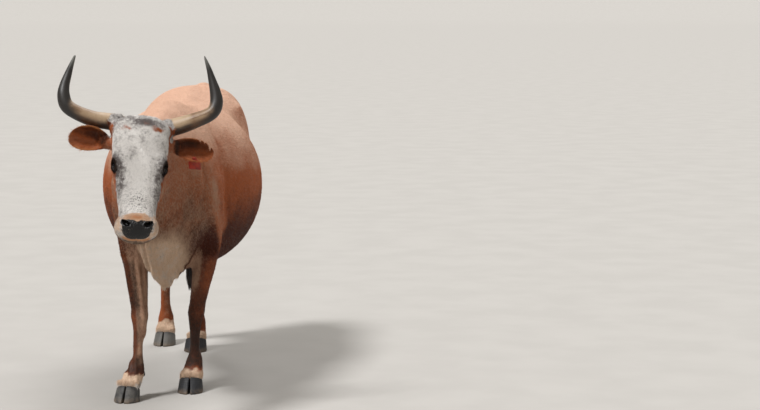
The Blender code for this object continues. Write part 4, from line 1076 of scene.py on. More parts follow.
def paintSkin(piece):
    mesh = piece.data
    places, normals = placesOf(mesh), normalsOf(mesh)
    raw = rawOf(places)
    x, y, z = raw.T
    s, d, p = faceOf(places)
    count = len(places)
    onHead = ease(-0.915, -0.965, y)
    onLeg = legShare(raw)
    ear, earFar, faceSide = earShare(places)
    onHead = onHead * (1 - ear)
    inner = ear * ease(0.0, 0.35, (normals * faceSide).sum(1))

    mottle, patchy, edge = cloud(places, 0.055, 11), cloud(places, 0.020, 12), cloud(places, 0.011, 13)
    # lit is painted light and shade: lighter on faces turned up, along the back and on the front of the withers,
    # darker low on the body and the belly, with a little real mottling; even on the head, a little lighter on the
    # legs
    lit = 0.42 + 0.46 * ease(0.05, 0.90, normals[:, 2]) * ease(0.80, 1.05, z) - 0.36 * ease(0.92, 0.56, z)
    lit += 0.16 * ease(-0.25, 0.30, normals[:, 2]) * ease(0.74, 0.92, z) + 0.05 * mottle
    lit += 0.13 * ease(0.84, 0.97, z) * ease(0.60, 0.15, normals[:, 2]) * ease(-0.40, -0.25, y)
    lit = lit * (1 - onHead) + 0.35 * onHead
    # inside the ears darker: partly their deep rust hair, partly painted shade in the cup
    lit = lit * (1 - ear) + (0.36 - 0.24 * inner + 0.10 * earFar * inner) * ear
    lit += onLeg * 0.06

    neck = ease(-0.50, -0.62, y) * (1 - onHead) * (1 - onLeg) * (1 - ear)
    middle = ease(0.16, 0.05, np.abs(x + 0.02))
    bottom = neck * ease(0.80, 0.60, z) * middle
    # painted light on the crest of the neck where it faces up; the rest of the neck a little darker, partly real
    # mottling and partly painted shade
    crest = ease(0.05, 0.60, normals[:, 2]) * ease(0.90, 1.02, z)
    lit += 0.16 * crest * ease(-0.30, -0.45, y) * (1 - onHead) * (1 - ear)
    lit -= neck * (0.04 + 0.12 * ease(0.0, 0.6, mottle) * (1 - bottom)) * (1 - crest)
    # a painted highlight along the edge of her left shoulder, whose hair is also roaner, and a painted shade patch
    # low on her left chest
    edgeX = np.interp(z, [0.58, 0.74, 0.90], [0.206, 0.200, 0.187])
    edgeLine = (
        gauss(x, edgeX, 0.011) * ease(-0.26, -0.32, y) * (y > -0.62) * ease(0.56, 0.62, z) * ease(0.93, 0.86, z)
    )
    shade = gauss(x, 0.145, 0.045) * gauss(z, 0.640, 0.050) * ease(-0.40, -0.46, y) * (y > -0.75)
    lit += 0.34 * edgeLine - 0.26 * shade
    keel = np.interp(z, [0.458, 0.517, 0.592, 0.670, 0.800], [-0.020, -0.078, -0.086, -0.0935, -0.070])
    # painted shade in the crease beside the dewlap's keel
    furrowShade = (
        neck * gauss(x, keel + 0.019, 0.0075) * ease(0.47, 0.50, z) * ease(0.80, 0.72, z)
        * ease(0.1, -0.3, normals[:, 1])
    )
    roan = (
        0.05 + neck * (0.47 + 0.12 * mottle + 0.08 * patchy) * (1 - 0.9 * crest) + 0.30 * bottom + 0.30 * edgeLine
        - 0.2 * shade
    )
    roan += 0.10 * ease(-0.25, -0.45, y) * (1 - neck) * (1 - onLeg) * (z > 0.6)
    roan += onHead * (0.42 + 0.20 * patchy) * ease(0.03, 0.10, p)
    dark = 0.62 * furrowShade
    warm = bottom * (0.92 + 0.10 * mottle) * (1 - 0.6 * furrowShade)
    pale = np.zeros(count)
    for leg, marks in legMarks.items():
        heights = [h for h, _, _ in legLines[leg]][::-1]
        cx = np.interp(z, heights, [a for _, a, _ in legLines[leg]][::-1])
        cy = np.interp(z, heights, [b for _, _, b in legLines[leg]][::-1])
        dx, dy = x - cx, y - cy
        near = (np.hypot(dx, dy) < 0.10) * ease(0.66, 0.55, z)
        inside = dx * (1 if "right" in leg else -1)
        level = z + 0.010 * mottle + 0.012 * patchy + 0.006 * edge
        # painted light on the legs, stronger on their outer sides
        lit += near * marks["lit"] * (0.6 + 0.4 * ease(0.0, -0.02, inside))
        outer = (
            ease(0.014, -0.010, inside - marks["reach"] + 0.005 * edge)
            * np.interp(level, [0.10, 0.15, 0.28, 0.33, 0.38, 0.52, 0.64], [0.0, 0.8, 0.88, 0.72, 1.0, 1.0, 0.75])
        )
        front = 1 - 0.35 * ease(0.0, 0.02, dy)
        roan += (
            near * marks["roan"] * ease(-0.006, 0.016, inside - 0.4 * dy) * ease(0.12, 0.17, level)
            * (1 + 0.3 * patchy)
        )
        dark = np.maximum(dark, near * front * np.interp(level, *zip(*marks["dark"])))
        dark = np.maximum(dark, near * marks["band"] * outer)
        roan += near * marks["inner"] * ease(0.40, 0.47, level) * ease(-0.002, 0.020, inside)
        band = ease(marks["top"], marks["top"] - 0.020, level) * near
        warm = np.maximum(warm, band * marks["pastern"])
        pale = np.maximum(pale, ease(0.082, 0.066, level) * near * marks["white"])

    # the face: white in front, roan cheeks, grey below the eyes, at the poll and down both sides of the blaze
    width = np.interp(
        d, [0.0, 0.05, 0.12, 0.18, 0.215, 0.27, 0.34, 0.40, 0.43],
        [0.090, 0.106, 0.106, 0.100, 0.088, 0.082, 0.080, 0.080, 0.078]
    )
    far = 0.006 * patchy + 0.004 * edge
    face = (
        onHead * ease(0.016, -0.012, np.abs(s) - width + far)
        * ease(0.085, 0.040, p + far + 0.5 * np.maximum(0, 0.06 - d))
    )
    face = np.maximum(face, onHead * ease(0.05, 0.0, d) * ease(0.12, 0.08, p) * 0.75)
    for side in (-1, 1):  # the hair round the horns' roots is pale too
        gap, _ = nearLine(places, [r[:3] for r in hornRows(side)][:8])
        face = np.maximum(face, onHead * ease(0.050, 0.034, gap + far) * ease(0.050, 0.020, d) * 0.9)
        tuft = np.linalg.norm(places - np.array(facePoint(side * 0.116, 0.056, 0.074)), axis=1)
        face = np.maximum(face, ease(0.024, 0.012, tuft + far) * 0.9)
    face *= 1 - 0.80 * gauss(np.abs(s - 0.002), 0.056, 0.026) * gauss(d, 0.062, 0.019) * (0.85 + 0.3 * edge)
    face *= 1 - 0.45 * gauss(s, 0.016, 0.030) * gauss(d, 0.040, 0.014)
    lipTop = 0.406 + 0.006 * edge + 0.006 * patchy - 0.010 * ease(0.04, 0.07, np.abs(s))
    muzzle = onHead * ease(-0.009, 0.010, d - lipTop)
    pale = np.maximum(pale, face * (1 - muzzle * (0.52 + 0.48 * gauss(s, -0.002, 0.046))))
    pale = np.maximum(pale, onHead * ease(0.026, 0.052, np.abs(s)) * ease(0.395, 0.415, d) * (0.47 + 0.10 * patchy))
    pale = np.maximum(pale, bottom * (0.42 + 0.06 * mottle) * (1 - furrowShade))
    grey = 0.33 + 0.12 * patchy + 0.08 * edge + 0.06 * mottle
    grey += 0.75 * gauss(s, 0.014, 0.036) * gauss(d, 0.034, 0.016) + 0.22 * ease(0.09, 0.02, d)
    grey += 0.34 * gauss(np.abs(s), 0.064, 0.016) * ease(0.185, 0.225, d) * ease(0.40, 0.27, d) * (1 + 0.4 * edge)
    grey += 0.20 * gauss(np.abs(s), 0.082, 0.016) * ease(0.09, 0.15, d)
    grey -= 0.26 * gauss(s, -0.006, 0.026) * ease(0.16, 0.26, d)
    for side in (-1, 1):
        q = places - np.array(eyeCentre(side))
        look, along, up = (np.array(v) for v in eyeAxes(side))
        own = ease(-0.014, -0.002, q @ look) * (np.linalg.norm(q, axis=1) < 0.10)
        r = np.hypot((q @ along + 0.004) / 1.30, q @ up) + 0.5 * far
        dark = np.maximum(dark, own * ease(0.033, 0.017, r) * 1.05)
        grey = np.maximum(grey, own * ease(0.056, 0.024, r) * 1.0)
        dark = np.maximum(dark, own * 0.50 * ease(0.050, 0.024, r))
    dark += onHead * 0.22 * ease(0.02, 0.09, p)
    dark = np.maximum(
        dark, onHead * 0.60 * gauss(np.abs(s), 0.114, 0.018) * gauss(d, 0.048, 0.036) * (1 + 0.3 * edge)
    )
    spots = onHead * gauss(s, -0.004, 0.042) * ease(0.29, 0.335, d) * ease(0.405, 0.392, d) * (p < 0.06)
    warm = np.maximum(warm, muzzle * 1.1)
    warm = np.maximum(warm, onHead * 0.35 * ease(0.06, 0.11, p) * ease(0.42, 0.30, d))
    orangeAndRimLight = onHead * gauss(s, -0.004, 0.034) * gauss(d, 0.421, 0.011) * (p < 0.05) * (0.85 + 0.3 * edge)
    orangeAndRimLight = np.maximum(
        orangeAndRimLight,
        onHead * ease(0.440, 0.452, d) * ease(0.050, 0.056, p) * ease(0.070, 0.061, p) * ease(0.062, 0.046, np.abs(s))
        * 0.9
    )
    # painted shade under the muzzle, below the pad: darker, roaner and less cream
    under = onHead * ease(0.425, 0.450, d) * ease(0.057, 0.070, p)
    warm = warm * (1 - 0.45 * under)
    roan += 0.5 * under
    dark = np.maximum(dark, 0.74 * under)
    dark = np.maximum(dark, 0.30 * ease(0.90, 0.50, z) * gauss(tailGapOf(raw), 0.0, 0.035))
    rim = np.zeros(count)
    for side in (-1, 1):
        root, way, _, up = (np.array(v) for v in earAxes(side))
        q = places - root
        share = np.clip((q @ way) / earSet["length"][side], 0, 1)
        across = np.abs(q @ up + earSet["drop"][side] * share * share) / np.maximum(earHalf(share, side), 0.004)
        own = ear * (np.linalg.norm(q, axis=1) < 0.22)
        # the rim: partly lighter rim hair, partly painted rim light, strongest on her right ear, the lit side
        rim = np.maximum(rim, own * ease(0.80, 0.95, across + 0.05 * edge) * (1.0 if side < 0 else 0.35))
        # painted shade in the cup's hollow and towards the root, over the darker hair inside
        hollow = gauss(share, 0.40, 0.26) * gauss(q @ up, 0.010, 0.020) + ease(0.22, 0.06, share)
        dark = np.maximum(dark, own * inner * (0.30 + 0.45 * hollow + 0.10 * patchy) * (0.9 if side < 0 else 1.1))
        # painted light on the lower half inside the ear, mostly on her right ear
        lit += own * inner * ease(0.000, -0.028, q @ up) * (0.42 if side < 0 else 0.16)
        dark *= 1 - 0.6 * own * inner * ease(0.000, -0.028, q @ up) * (side < 0)
    orangeAndRimLight = np.maximum(orangeAndRimLight, rim * ease(0.10, 0.35, earFar) * 0.8)
    # the tip of her right ear lit too: painted light
    orangeAndRimLight = np.maximum(orangeAndRimLight, ear * ease(0.90, 1.0, earFar) * 0.6 * (s < 0))
    warm = np.maximum(warm, ear * ease(0.16, 0.06, earFar) * 0.5 * (1 - inner))

    # bare skin: the nose pad, the lids' edges, the nostrils, the udder
    padHalf = np.interp(d, [0.420, 0.430, 0.445, 0.460, 0.475, 0.495], [0.044, 0.054, 0.058, 0.056, 0.050, 0.040])
    padTop = 0.431 + 0.002 * edge + 0.006 * gauss(s, 0, 0.012)
    lipEdge = 0.052 + 0.003 * edge - 0.012 * ease(0.030, 0.055, np.abs(s))
    bare = (
        ease(0.004, -0.004, np.abs(s) - padHalf + 0.002 * edge) * ease(-0.003, 0.003, d - padTop)
        * ease(0.004, -0.004, p - lipEdge) * onHead
    )
    gap = nostrilGap(s, d)
    bare = np.maximum(bare, ease(1.45, 1.15, gap) * (p < 0.075) * onHead)
    bare = np.maximum(bare, ease(2.6, 2.0, gap) * ease(0.022, 0.026, p) * (p < 0.060) * (np.abs(s) < 0.057) * onHead)
    for side in (-1, 1):
        q = places - np.array(eyeCentre(side))
        look, along, up = (np.array(v) for v in eyeAxes(side))
        a, o = q @ along, q @ up
        r = np.hypot(a / eyeSet["half"], o / np.where(o > 0, eyeSet["upper"], eyeSet["lower"]))
        bare = np.maximum(bare, onHead * ease(1.42, 1.18, r) * ((q @ look) > 0) * (np.linalg.norm(q, axis=1) < 0.05))
    teat = (
        gauss(np.hypot(x, (y - 0.335) * 0.8), 0, 0.075) * ease(0.56, 0.50, z) * (y > 0.15) * (y < 0.5)
        * (np.abs(x) < 0.075) * (1 - onLeg)
    )
    masks = {
        "lit": lit, "roan": roan, "pale": pale, "dark": np.clip(dark, 0, 1.2), "grey": grey, "warm": warm,
        "orangeAndRimLight": orangeAndRimLight, "spots": spots, "bare": bare, "teat": np.clip(teat * 1.4, 0, 1),
        "tone": np.full(count, 0.5),
    }
    for name, value in masks.items():
        layer = mesh.attributes.new(name, "FLOAT", "POINT")
        layer.data.foreach_set("value", value.astype(np.float32))
    return masks


def tailGapOf(raw):
    gap, _ = nearLine(raw, tailLine)
    return np.where(raw[:, 1] > 0.72, gap, 9.0)


def lieOf(places):  # the direction of the hair
    raw = rawOf(places)
    x, y, z = raw.T
    s, d, p = faceOf(places)
    lie = np.stack([0.05 * np.sign(x + 0.01), np.full(len(x), 1.0), np.full(len(x), -0.55)], 1)
    down = np.array((0.0, 0.18, -1.0))
    breast = ease(-0.52, -0.66, y) * ease(0.95, 0.80, z)
    lie += breast[:, None] * np.array((0.0, -0.5, -0.9))
    top = ease(0.98, 1.12, z)
    lie += top[:, None] * np.array((0.0, 0.3, 0.45))
    rear = ease(0.55, 0.70, y)
    lie += rear[:, None] * np.array((0.0, -0.7, -1.0))
    low = ease(0.72, 0.52, z) * (1 - ease(0.60, 0.40, np.abs(y)) * (np.abs(x) < 0.04))
    legs = np.clip(low * ease(0.16, 0.10, gapToLegs(raw)), 0, 1)
    lie = lie * (1 - legs)[:, None] + legs[:, None] * down
    tail = ease(0.06, 0.04, tailGapOf(raw))
    lie = lie * (1 - tail)[:, None] + tail[:, None] * np.array((-0.02, 0.0, -1.0))
    # on the face it parts at a whorl on the forehead
    whorl = 0.150
    front = np.stack([s * 1.4, ease(0.03, 0.10, p) * 0.12, -(d - whorl)], 1)
    sides = np.stack([0.02 * np.sign(s), np.full(len(s), 0.10), -0.06 * np.ones(len(s))], 1)
    mix = ease(0.03, 0.09, p)
    faceLie = front * (1 - mix)[:, None] + sides * mix[:, None]
    faceLie = faceLie @ headAxes.T
    faceLie /= np.maximum(np.linalg.norm(faceLie, axis=1), 1e-6)[:, None]
    head = ease(-0.90, -0.98, y)
    lie = lie / np.linalg.norm(lie, axis=1)[:, None] * (1 - head)[:, None] + faceLie * head[:, None]
    for side in (-1, 1):  # out along the horns' roots and the ears
        line = [r[:3] for r in hornRows(side)]
        gap, _ = nearLine(places, line[:8])
        out = np.array(line[4]) - np.array(line[0])
        near = ease(0.060, 0.040, gap) * head
        lie = lie * (1 - near)[:, None] + near[:, None] * out / np.linalg.norm(out)
    on, _, _ = earShare(places)
    for side in (-1, 1):
        _, way, _, _ = earAxes(side)
        here = on * (np.sign(s) == side)
        lie = lie * (1 - here)[:, None] + here[:, None] * np.array(way)
    return lie


masks = paintSkin(skin)
print("skin painted")


def unwrapSkin(piece):
    bpy.context.view_layer.objects.active = piece
    for other in bpy.context.selected_objects:
        other.select_set(False)
    piece.select_set(True)
    bpy.ops.object.mode_set(mode="EDIT")
    bpy.ops.mesh.select_all(action="SELECT")
    bpy.ops.uv.smart_project(angle_limit=math.radians(66), island_margin=0.001)
    bpy.ops.object.mode_set(mode="OBJECT")
    piece.data.uv_layers[0].name = "OFBake"


unwrapSkin(skin)
print("skin unwrapped")
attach(skin, "root")
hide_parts(*fleshNodes, "ear_left", "ear_right")

# the coat: thin tufts that lie along the body, rooted in the skin


def trianglesOf(mesh):
    mesh.calc_loop_triangles()
    count = len(mesh.loop_triangles)
    corners, loops = np.empty(count * 3, np.int32), np.empty(count * 3, np.int32)
    mesh.loop_triangles.foreach_get("vertices", corners)
    mesh.loop_triangles.foreach_get("loops", loops)
    uv = np.empty(len(mesh.loops) * 2, np.float32)
    mesh.uv_layers["OFBake"].data.foreach_get("uv", uv)
    return corners.reshape(-1, 3), uv.reshape(-1, 2)[loops].reshape(-1, 3, 2)


skinPlaces, skinNormals = placesOf(skin.data), normalsOf(skin.data)
skinLie = lieOf(skinPlaces)
skinCorners, skinUv = trianglesOf(skin.data)
edgeA = skinPlaces[skinCorners[:, 1]] - skinPlaces[skinCorners[:, 0]]
edgeB = skinPlaces[skinCorners[:, 2]] - skinPlaces[skinCorners[:, 0]]
skinAreas = np.linalg.norm(np.cross(edgeA, edgeB), axis=1) / 2
print("skin area", round(float(skinAreas.sum()), 3), "square metres")


def stripMesh(name, roots, sides, ups, ways, lengths, widths, lifts, bends, uvs, values, material, segments=2):
    # flat tapered locks: pairs of points along each, one at the tip
    count = len(roots)
    perLock = segments * 2 + 1
    points = np.empty((count, perLock, 3))
    tones = np.empty((count, perLock))
    for k in range(segments + 1):
        t = k / segments
        middle = (
            roots + ways * (lengths * t)[:, None] + ups * (lifts * (1 - (1 - t) ** 2) - 0.0005 * (1 - t))[:, None]
            + bends * (t * t)
        )
        tones[:, min(2 * k, perLock - 1)] = values["tone"] + 0.16 * t - 0.08
        if k < segments:
            half = sides * (widths * (1.0 if k == 0 else 1 - 0.55 * t * t) / 2)[:, None]
            points[:, 2 * k], points[:, 2 * k + 1] = middle - half, middle + half
            tones[:, 2 * k + 1] = tones[:, 2 * k]
        else:
            points[:, 2 * k] = middle
    mesh = bpy.data.meshes.new(name)
    mesh.vertices.add(count * perLock)
    mesh.vertices.foreach_set("co", points.astype(np.float32).ravel())
    quads = [[2 * k, 2 * k + 1, 2 * k + 3, 2 * k + 2] for k in range(segments - 1)]
    last = [2 * segments - 2, 2 * segments - 1, 2 * segments]
    pattern = np.array(sum(quads, []) + last, np.int64)
    corners = (pattern[None, :] + (np.arange(count) * perLock)[:, None]).ravel()
    sizes = np.tile(np.array([4] * (segments - 1) + [3]), count)
    starts = np.concatenate([[0], np.cumsum(sizes)[:-1]])
    mesh.loops.add(len(corners))
    mesh.loops.foreach_set("vertex_index", corners.astype(np.int32))
    mesh.polygons.add(len(sizes))
    mesh.polygons.foreach_set("loop_start", starts.astype(np.int32))
    layer = mesh.uv_layers.new(name="OFBake")
    local = np.zeros((perLock, 2))
    for k in range(segments):
        local[2 * k], local[2 * k + 1] = (0.0, 0.003 * k / segments), (0.003, 0.003 * k / segments)
    local[-1] = (0.0015, 0.003)
    uv = np.clip(uvs, 0.002, 0.995)[:, None, :] + local[pattern][None, :, :] - 0.0015
    layer.data.foreach_set("uv", uv.astype(np.float32).ravel())
    mesh.update(calc_edges=True)
    for key, value in values.items():
        attribute = mesh.attributes.new(key, "FLOAT", "POINT")
        flat = tones if key == "tone" else np.repeat(value[:, None], perLock, 1)
        attribute.data.foreach_set("value", np.clip(flat, 0, 2).astype(np.float32).ravel())
    mesh.shade_smooth()
    mesh.materials.append(material)
    made = bpy.data.objects.new(name, mesh)
    bpy.context.scene.collection.objects.link(made)
    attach(made, "root")
    return made


def growCoat(name, where, count, length, width, lift, seed, spread=0.22, jitter=0.25, bend=0.0):
    draw = np.random.default_rng(seed)
    weight = np.clip(where[skinCorners].mean(1), 0, 1) * skinAreas
    steps = np.cumsum(weight)
    picks = np.searchsorted(steps, (np.arange(count) + draw.random(count)) / count * steps[-1])
    picks = np.minimum(picks, len(weight) - 1)
    u, v = draw.random(count), draw.random(count)
    over = u + v > 1
    u[over], v[over] = 1 - u[over], 1 - v[over]
    mix = np.stack([1 - u - v, u, v], 1)
    corner = skinCorners[picks]
    blend = lambda values: (values[corner] * mix.reshape(count, 3, *([1] * (values.ndim - 1)))).sum(1)
    roots, ups, ways = blend(skinPlaces), blend(skinNormals), blend(skinLie)
    ups /= np.linalg.norm(ups, axis=1)[:, None]
    ways -= ups * (ways * ups).sum(1)[:, None]
    ways /= np.maximum(np.linalg.norm(ways, axis=1), 1e-6)[:, None]
    sides = np.cross(ups, ways)
    turn = draw.normal(0, spread, count)
    wave = (
        0.35 * np.sin(roots @ np.array((31.0, 23.0, 17.0)) + 2.0 * np.sin(roots @ np.array((-11.0, 19.0, 29.0))))
        * spread * 2
    )
    turn += wave
    ways, sides = (
        ways * np.cos(turn)[:, None] + sides * np.sin(turn)[:, None],
        sides * np.cos(turn)[:, None] - ways * np.sin(turn)[:, None]
    )
    roll = draw.normal(0, 0.45, count)
    flat = sides * np.cos(roll)[:, None] + ups * np.sin(roll)[:, None]
    value = {key: blend(np.asarray(masks[key], float)) for key in masks if key not in ("tone", "teat")}
    value["roan"] = value["roan"] + draw.normal(0, 0.16, count)
    value["dark"] = value["dark"] + draw.normal(0, 0.07, count) * (value["dark"] > 0.05)
    value["grey"] = value["grey"] + draw.normal(0, 0.13, count)
    value["lit"] = value["lit"] + draw.normal(0, 0.05, count)
    value["tone"] = np.clip(draw.normal(0.5, 0.17, count), 0, 1)
    lengthOf = (
        (blend(length) if isinstance(length, np.ndarray) else length) * (1 + jitter * draw.uniform(-1, 1, count))
    )
    widthOf = (blend(width) if isinstance(width, np.ndarray) else width) * draw.uniform(0.75, 1.25, count)
    liftOf = (blend(lift) if isinstance(lift, np.ndarray) else lift) * draw.uniform(0.5, 1.2, count)
    bends = sides * (draw.normal(0, bend, count) * lengthOf)[:, None] - ups * (0.25 * liftOf)[:, None]
    uvs = (skinUv[picks] * mix[:, :, None]).sum(1)
    made = stripMesh(name, roots, flat, ups, ways, lengthOf, widthOf, liftOf, bends, uvs, value, coatMaterial)
    return made


def growWholeCoat():
    raw = rawOf(skinPlaces)
    x, y, z = raw.T
    s, d, p = faceOf(skinPlaces)
    ear, _, faceSide = earShare(skinPlaces)
    inner = ear * ease(0.0, 0.3, (skinNormals * faceSide).sum(1))
    head = (y < -0.93) & (ear < 0.5)
    furred = ease(0.5, 0.2, masks["bare"]) * ease(0.75, 0.35, masks["teat"])
    furred = furred * (z >= 0.060)
    legGap = gapToLegs(raw)
    leg = ease(0.62, 0.56, z) * (legGap < 0.10)
    tail = tailGapOf(raw) < 0.045
    trunk = ~head & (ear < 0.5) & ~tail
    muzzle = ease(0.34, 0.42, d) * head
    lengths = np.full(len(x), 0.0115)
    lengths = np.where(y < -0.55, 0.0120, lengths)
    lengths += 0.004 * ease(0.66, 0.54, z) * (leg < 0.5)
    lengths += (0.0075 - lengths) * leg
    lengths = np.where(head, 0.0068 - 0.0034 * muzzle + 0.004 * ease(0.06, 0.11, p) * (d < 0.36), lengths)
    widths = np.where(head, 0.00085 - 0.0003 * muzzle, 0.00125)
    widths = np.where(leg > 0.5, 0.00095, widths)
    lifts = coatDepth(skinPlaces) * 1.05 + 0.0002
    parts = (
        ("coatFaceFront", head & (p < 0.045), 60000), ("coatFaceSides", head & (p >= 0.045), 44000),
        ("coatNeck", trunk & (y < -0.62) & (leg < 0.5), 54000),
        ("coatShoulderLeft", trunk & (y >= -0.62) & (y < -0.22) & (x > -0.01) & (leg < 0.5), 32000),
        ("coatShoulderRight", trunk & (y >= -0.62) & (y < -0.22) & (x <= -0.01) & (leg < 0.5), 32000),
        ("coatBarrelLeft", trunk & (y >= -0.22) & (y < 0.30) & (x > -0.01) & (leg < 0.5), 39000),
        ("coatBarrelRight", trunk & (y >= -0.22) & (y < 0.30) & (x <= -0.01) & (leg < 0.5), 39000),
        ("coatRumpLeft", trunk & (y >= 0.30) & (x > 0.02) & (leg < 0.5), 34000),
        ("coatRumpRight", trunk & (y >= 0.30) & (x <= 0.02) & (leg < 0.5), 34000),
        ("coatForelegs", trunk & (leg >= 0.5) & (y < 0), 30000),
        ("coatHindlegs", trunk & (leg >= 0.5) & (y >= 0), 28000),
    )
    for n, (name, where, count) in enumerate(parts):
        growCoat(name, where * furred, count, lengths, widths, lifts, 20 + n)
        print("grew", name)
    growCoat("coatTail", tail * 1.0, 9000, 0.012 + 0.012 * ease(0.8, 0.5, z), 0.0011, 0.0030, 41, 0.15)
    growCoat("coatEarsOutside", (ear > 0.5) * (1 - inner) * 1.0, 13000, 0.0065, 0.0008, 0.0012, 42)
    growCoat("coatEarsInside", (inner > 0.4) * 1.0, 6000, 0.0125, 0.0006, 0.0030, 43, 0.5)
    growCoat(
        "coatMuzzle", head * furred * ease(0.395, 0.410, d), 12000, 0.0040, 0.00050, coatDepth(skinPlaces) + 0.0012,
        47, 0.4
    )
    growCoat(
        "coatPoll", head * ease(0.075, 0.020, d) * ease(0.16, 0.10, p) * ease(0.11, 0.085, np.abs(s)), 5200, 0.0135,
        0.0010, 0.0040, 44, 0.65, 0.4, 0.3
    )
    growCoat(
        "coatBrisket", trunk * furred * ease(0.66, 0.56, z) * ease(-0.40, -0.52, y) * (leg < 0.6), 6500, 0.0200,
        0.0010, 0.0045, 45, 0.35, 0.35, 0.2
    )
    growCoat(
        "coatPasterns", trunk * ease(0.050, 0.056, z) * ease(0.092, 0.080, z), 6500, 0.0150, 0.0009, 0.0026, 46, 0.25
    )


growWholeCoat()
print("coat grown")

# eyes: a dark ball with a wide oval pupil under a clear bulging front

eyeColours = {
    "iris": tint(34, 19, 12), "irisLight": tint(70, 42, 24), "pupil": tint(5, 7, 10), "white": tint(84, 62, 52),
    "rim": tint(14, 10, 9)
}


def makeEyeMaterial(side):
    made, w, shader = newMaterial(
        "eyeRight" if side < 0 else "eyeLeft",
        **{"Roughness": 0.16, "Coat Weight": 0.08, "Coat Roughness": 0.04, "Specular IOR Level": 0.18}
    )
    place = w.place()
    centre = eyeCentre(side)
    _, along, up = eyeAxes(side)
    q = w.node("ShaderNodeVectorMath", {"operation": "SUBTRACT"}, {0: place, 1: centre})
    dot = lambda axis: w.node("ShaderNodeVectorMath", {"operation": "DOT_PRODUCT"}, {0: q, 1: axis}, out=1)
    a, o = dot(along) * (1 / 0.0135), dot(up) * (1 / 0.0135)
    fromMiddle = (a * a + o * o) ** 0.5
    pupil = ((a * (1 / 0.56)) * (a * (1 / 0.56)) + (o * (1 / 0.36)) * (o * (1 / 0.36))) ** 0.5
    rays = w.noise(place, 900.0, 3.0, 0.6)
    c = eyeColours
    found = w.colour(c["iris"], c["irisLight"], rays.above(0.45, 0.75) * 0.45 * fromMiddle.above(0.3, 0.8))
    found = w.colour(found, c["pupil"], 1 - pupil.above(0.92, 1.05))
    found = w.colour(found, c["rim"], fromMiddle.above(0.86, 1.0))
    veins = w.noise(place, 320.0, 4.0, 0.7)
    white = w.colour(c["white"], tint(86, 44, 34), veins.above(0.5, 0.7) * 0.6)
    found = w.colour(found, white, fromMiddle.above(1.02, 1.14) * 0.75)
    plug(found, shader, "Base Color")
    return made


def makeEye(side):
    centre, (look, along, up), radius = eyeCentre(side), eyeAxes(side), eyeSet["radius"]
    rings = []
    steps = 40
    for i in range(1, steps):
        angle = math.pi * i / steps
        bulge = 0.0013 * max(0.0, 1 - (angle / math.radians(36)) ** 2)
        r = radius - 0.0002 + bulge
        rings.append([
            centre + look * (r * math.cos(angle))
            + (along * math.cos(2 * math.pi * k / 64) + up * math.sin(2 * math.pi * k / 64)) * (r * math.sin(angle))
            for k in range(64)
        ])
    bm = bmesh.new()
    made = loftInto(bm, rings, ends=False)
    for ring, tip in ((made[0], centre + look * (radius + 0.0011)), (made[-1], centre - look * (radius - 0.0002))):
        point = bm.verts.new(tip)
        for k in range(64):
            bm.faces.new((ring[k], ring[(k + 1) % 64], point))
    eye = pieceFrom("eyeRight" if side < 0 else "eyeLeft", bm, makeEyeMaterial(side))
    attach(eye, "root")
    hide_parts("eye_right" if side < 0 else "eye_left")


makeEye(-1)
makeEye(1)
print("eyes made")

# horns: pale above to the bend, dark below and to the tip; the dark below is partly the horn's colour and partly
# painted shade

hornSet = {"steps": 14, "around": 48, "ripple": 0.0007, "rings": 0.0165}
hornColours = {
    "ivory": tint(170, 146, 118), "amber": tint(108, 76, 50), "under": tint(54, 40, 30), "charcoal": tint(32, 28, 25),
    "tip": tint(112, 112, 106),
}


def makeHornMaterial():
    made, w, shader = newMaterial("hornMaterial", **{"Specular IOR Level": 0.5})
    c = hornColours
    far, upper, place = w.painted("far"), w.painted("upper"), w.place()
    grain = w.noise(
        w.node(
            "ShaderNodeCombineXYZ", {}, {0: w.painted("aroundX") * 14.0, 1: w.painted("aroundY") * 14.0, 2: far * 5.0}
        ),
        1.0, 4.0, 0.6
    )
    cloud = w.noise(place, 24.0, 3.0, 0.6)
    # pale above and dark below: the dark underside is partly real horn colour, partly painted shade
    edge = upper + (grain - 0.5) * 0.7 + (cloud - 0.5) * 0.5
    found = w.colour(c["under"], c["ivory"], edge.above(-0.45, 0.15))
    amber = (far + (cloud - 0.5) * 0.22).above(0.20, 0.36)
    found = w.colour(found, c["amber"], amber * (0.35 + 0.5 * (cloud + grain - 0.5).above(0.3, 0.7)))
    bend = (far + (cloud - 0.5) * 0.12 + upper * -0.10).above(0.36, 0.52)
    found = w.colour(found, c["charcoal"], bend)
    edgeLine = (far.above(0.34, 0.42)) * (1 - far.above(0.50, 0.60)) * w.painted("inner").above(0.82, 0.97)
    found = w.colour(found, c["ivory"], edgeLine * 0.8)
    found = w.colour(found, c["tip"], far.above(0.86, 0.99) * 0.75)
    found = w.colour(found, tint(60, 46, 36), (grain.above(0.58, 0.80)) * 0.45, "MULTIPLY")
    plug(found, shader, "Base Color")
    plug(0.34 + grain * 0.22 + (1 - far.above(0.0, 0.3)) * 0.12, shader, "Roughness")
    height = grain * 0.7 + w.noise(place, 180.0, 3.0) * 0.4
    plug(bumped(w, height, 0.45, 0.0011), shader, "Normal")
    return made


hornMaterial = makeHornMaterial()


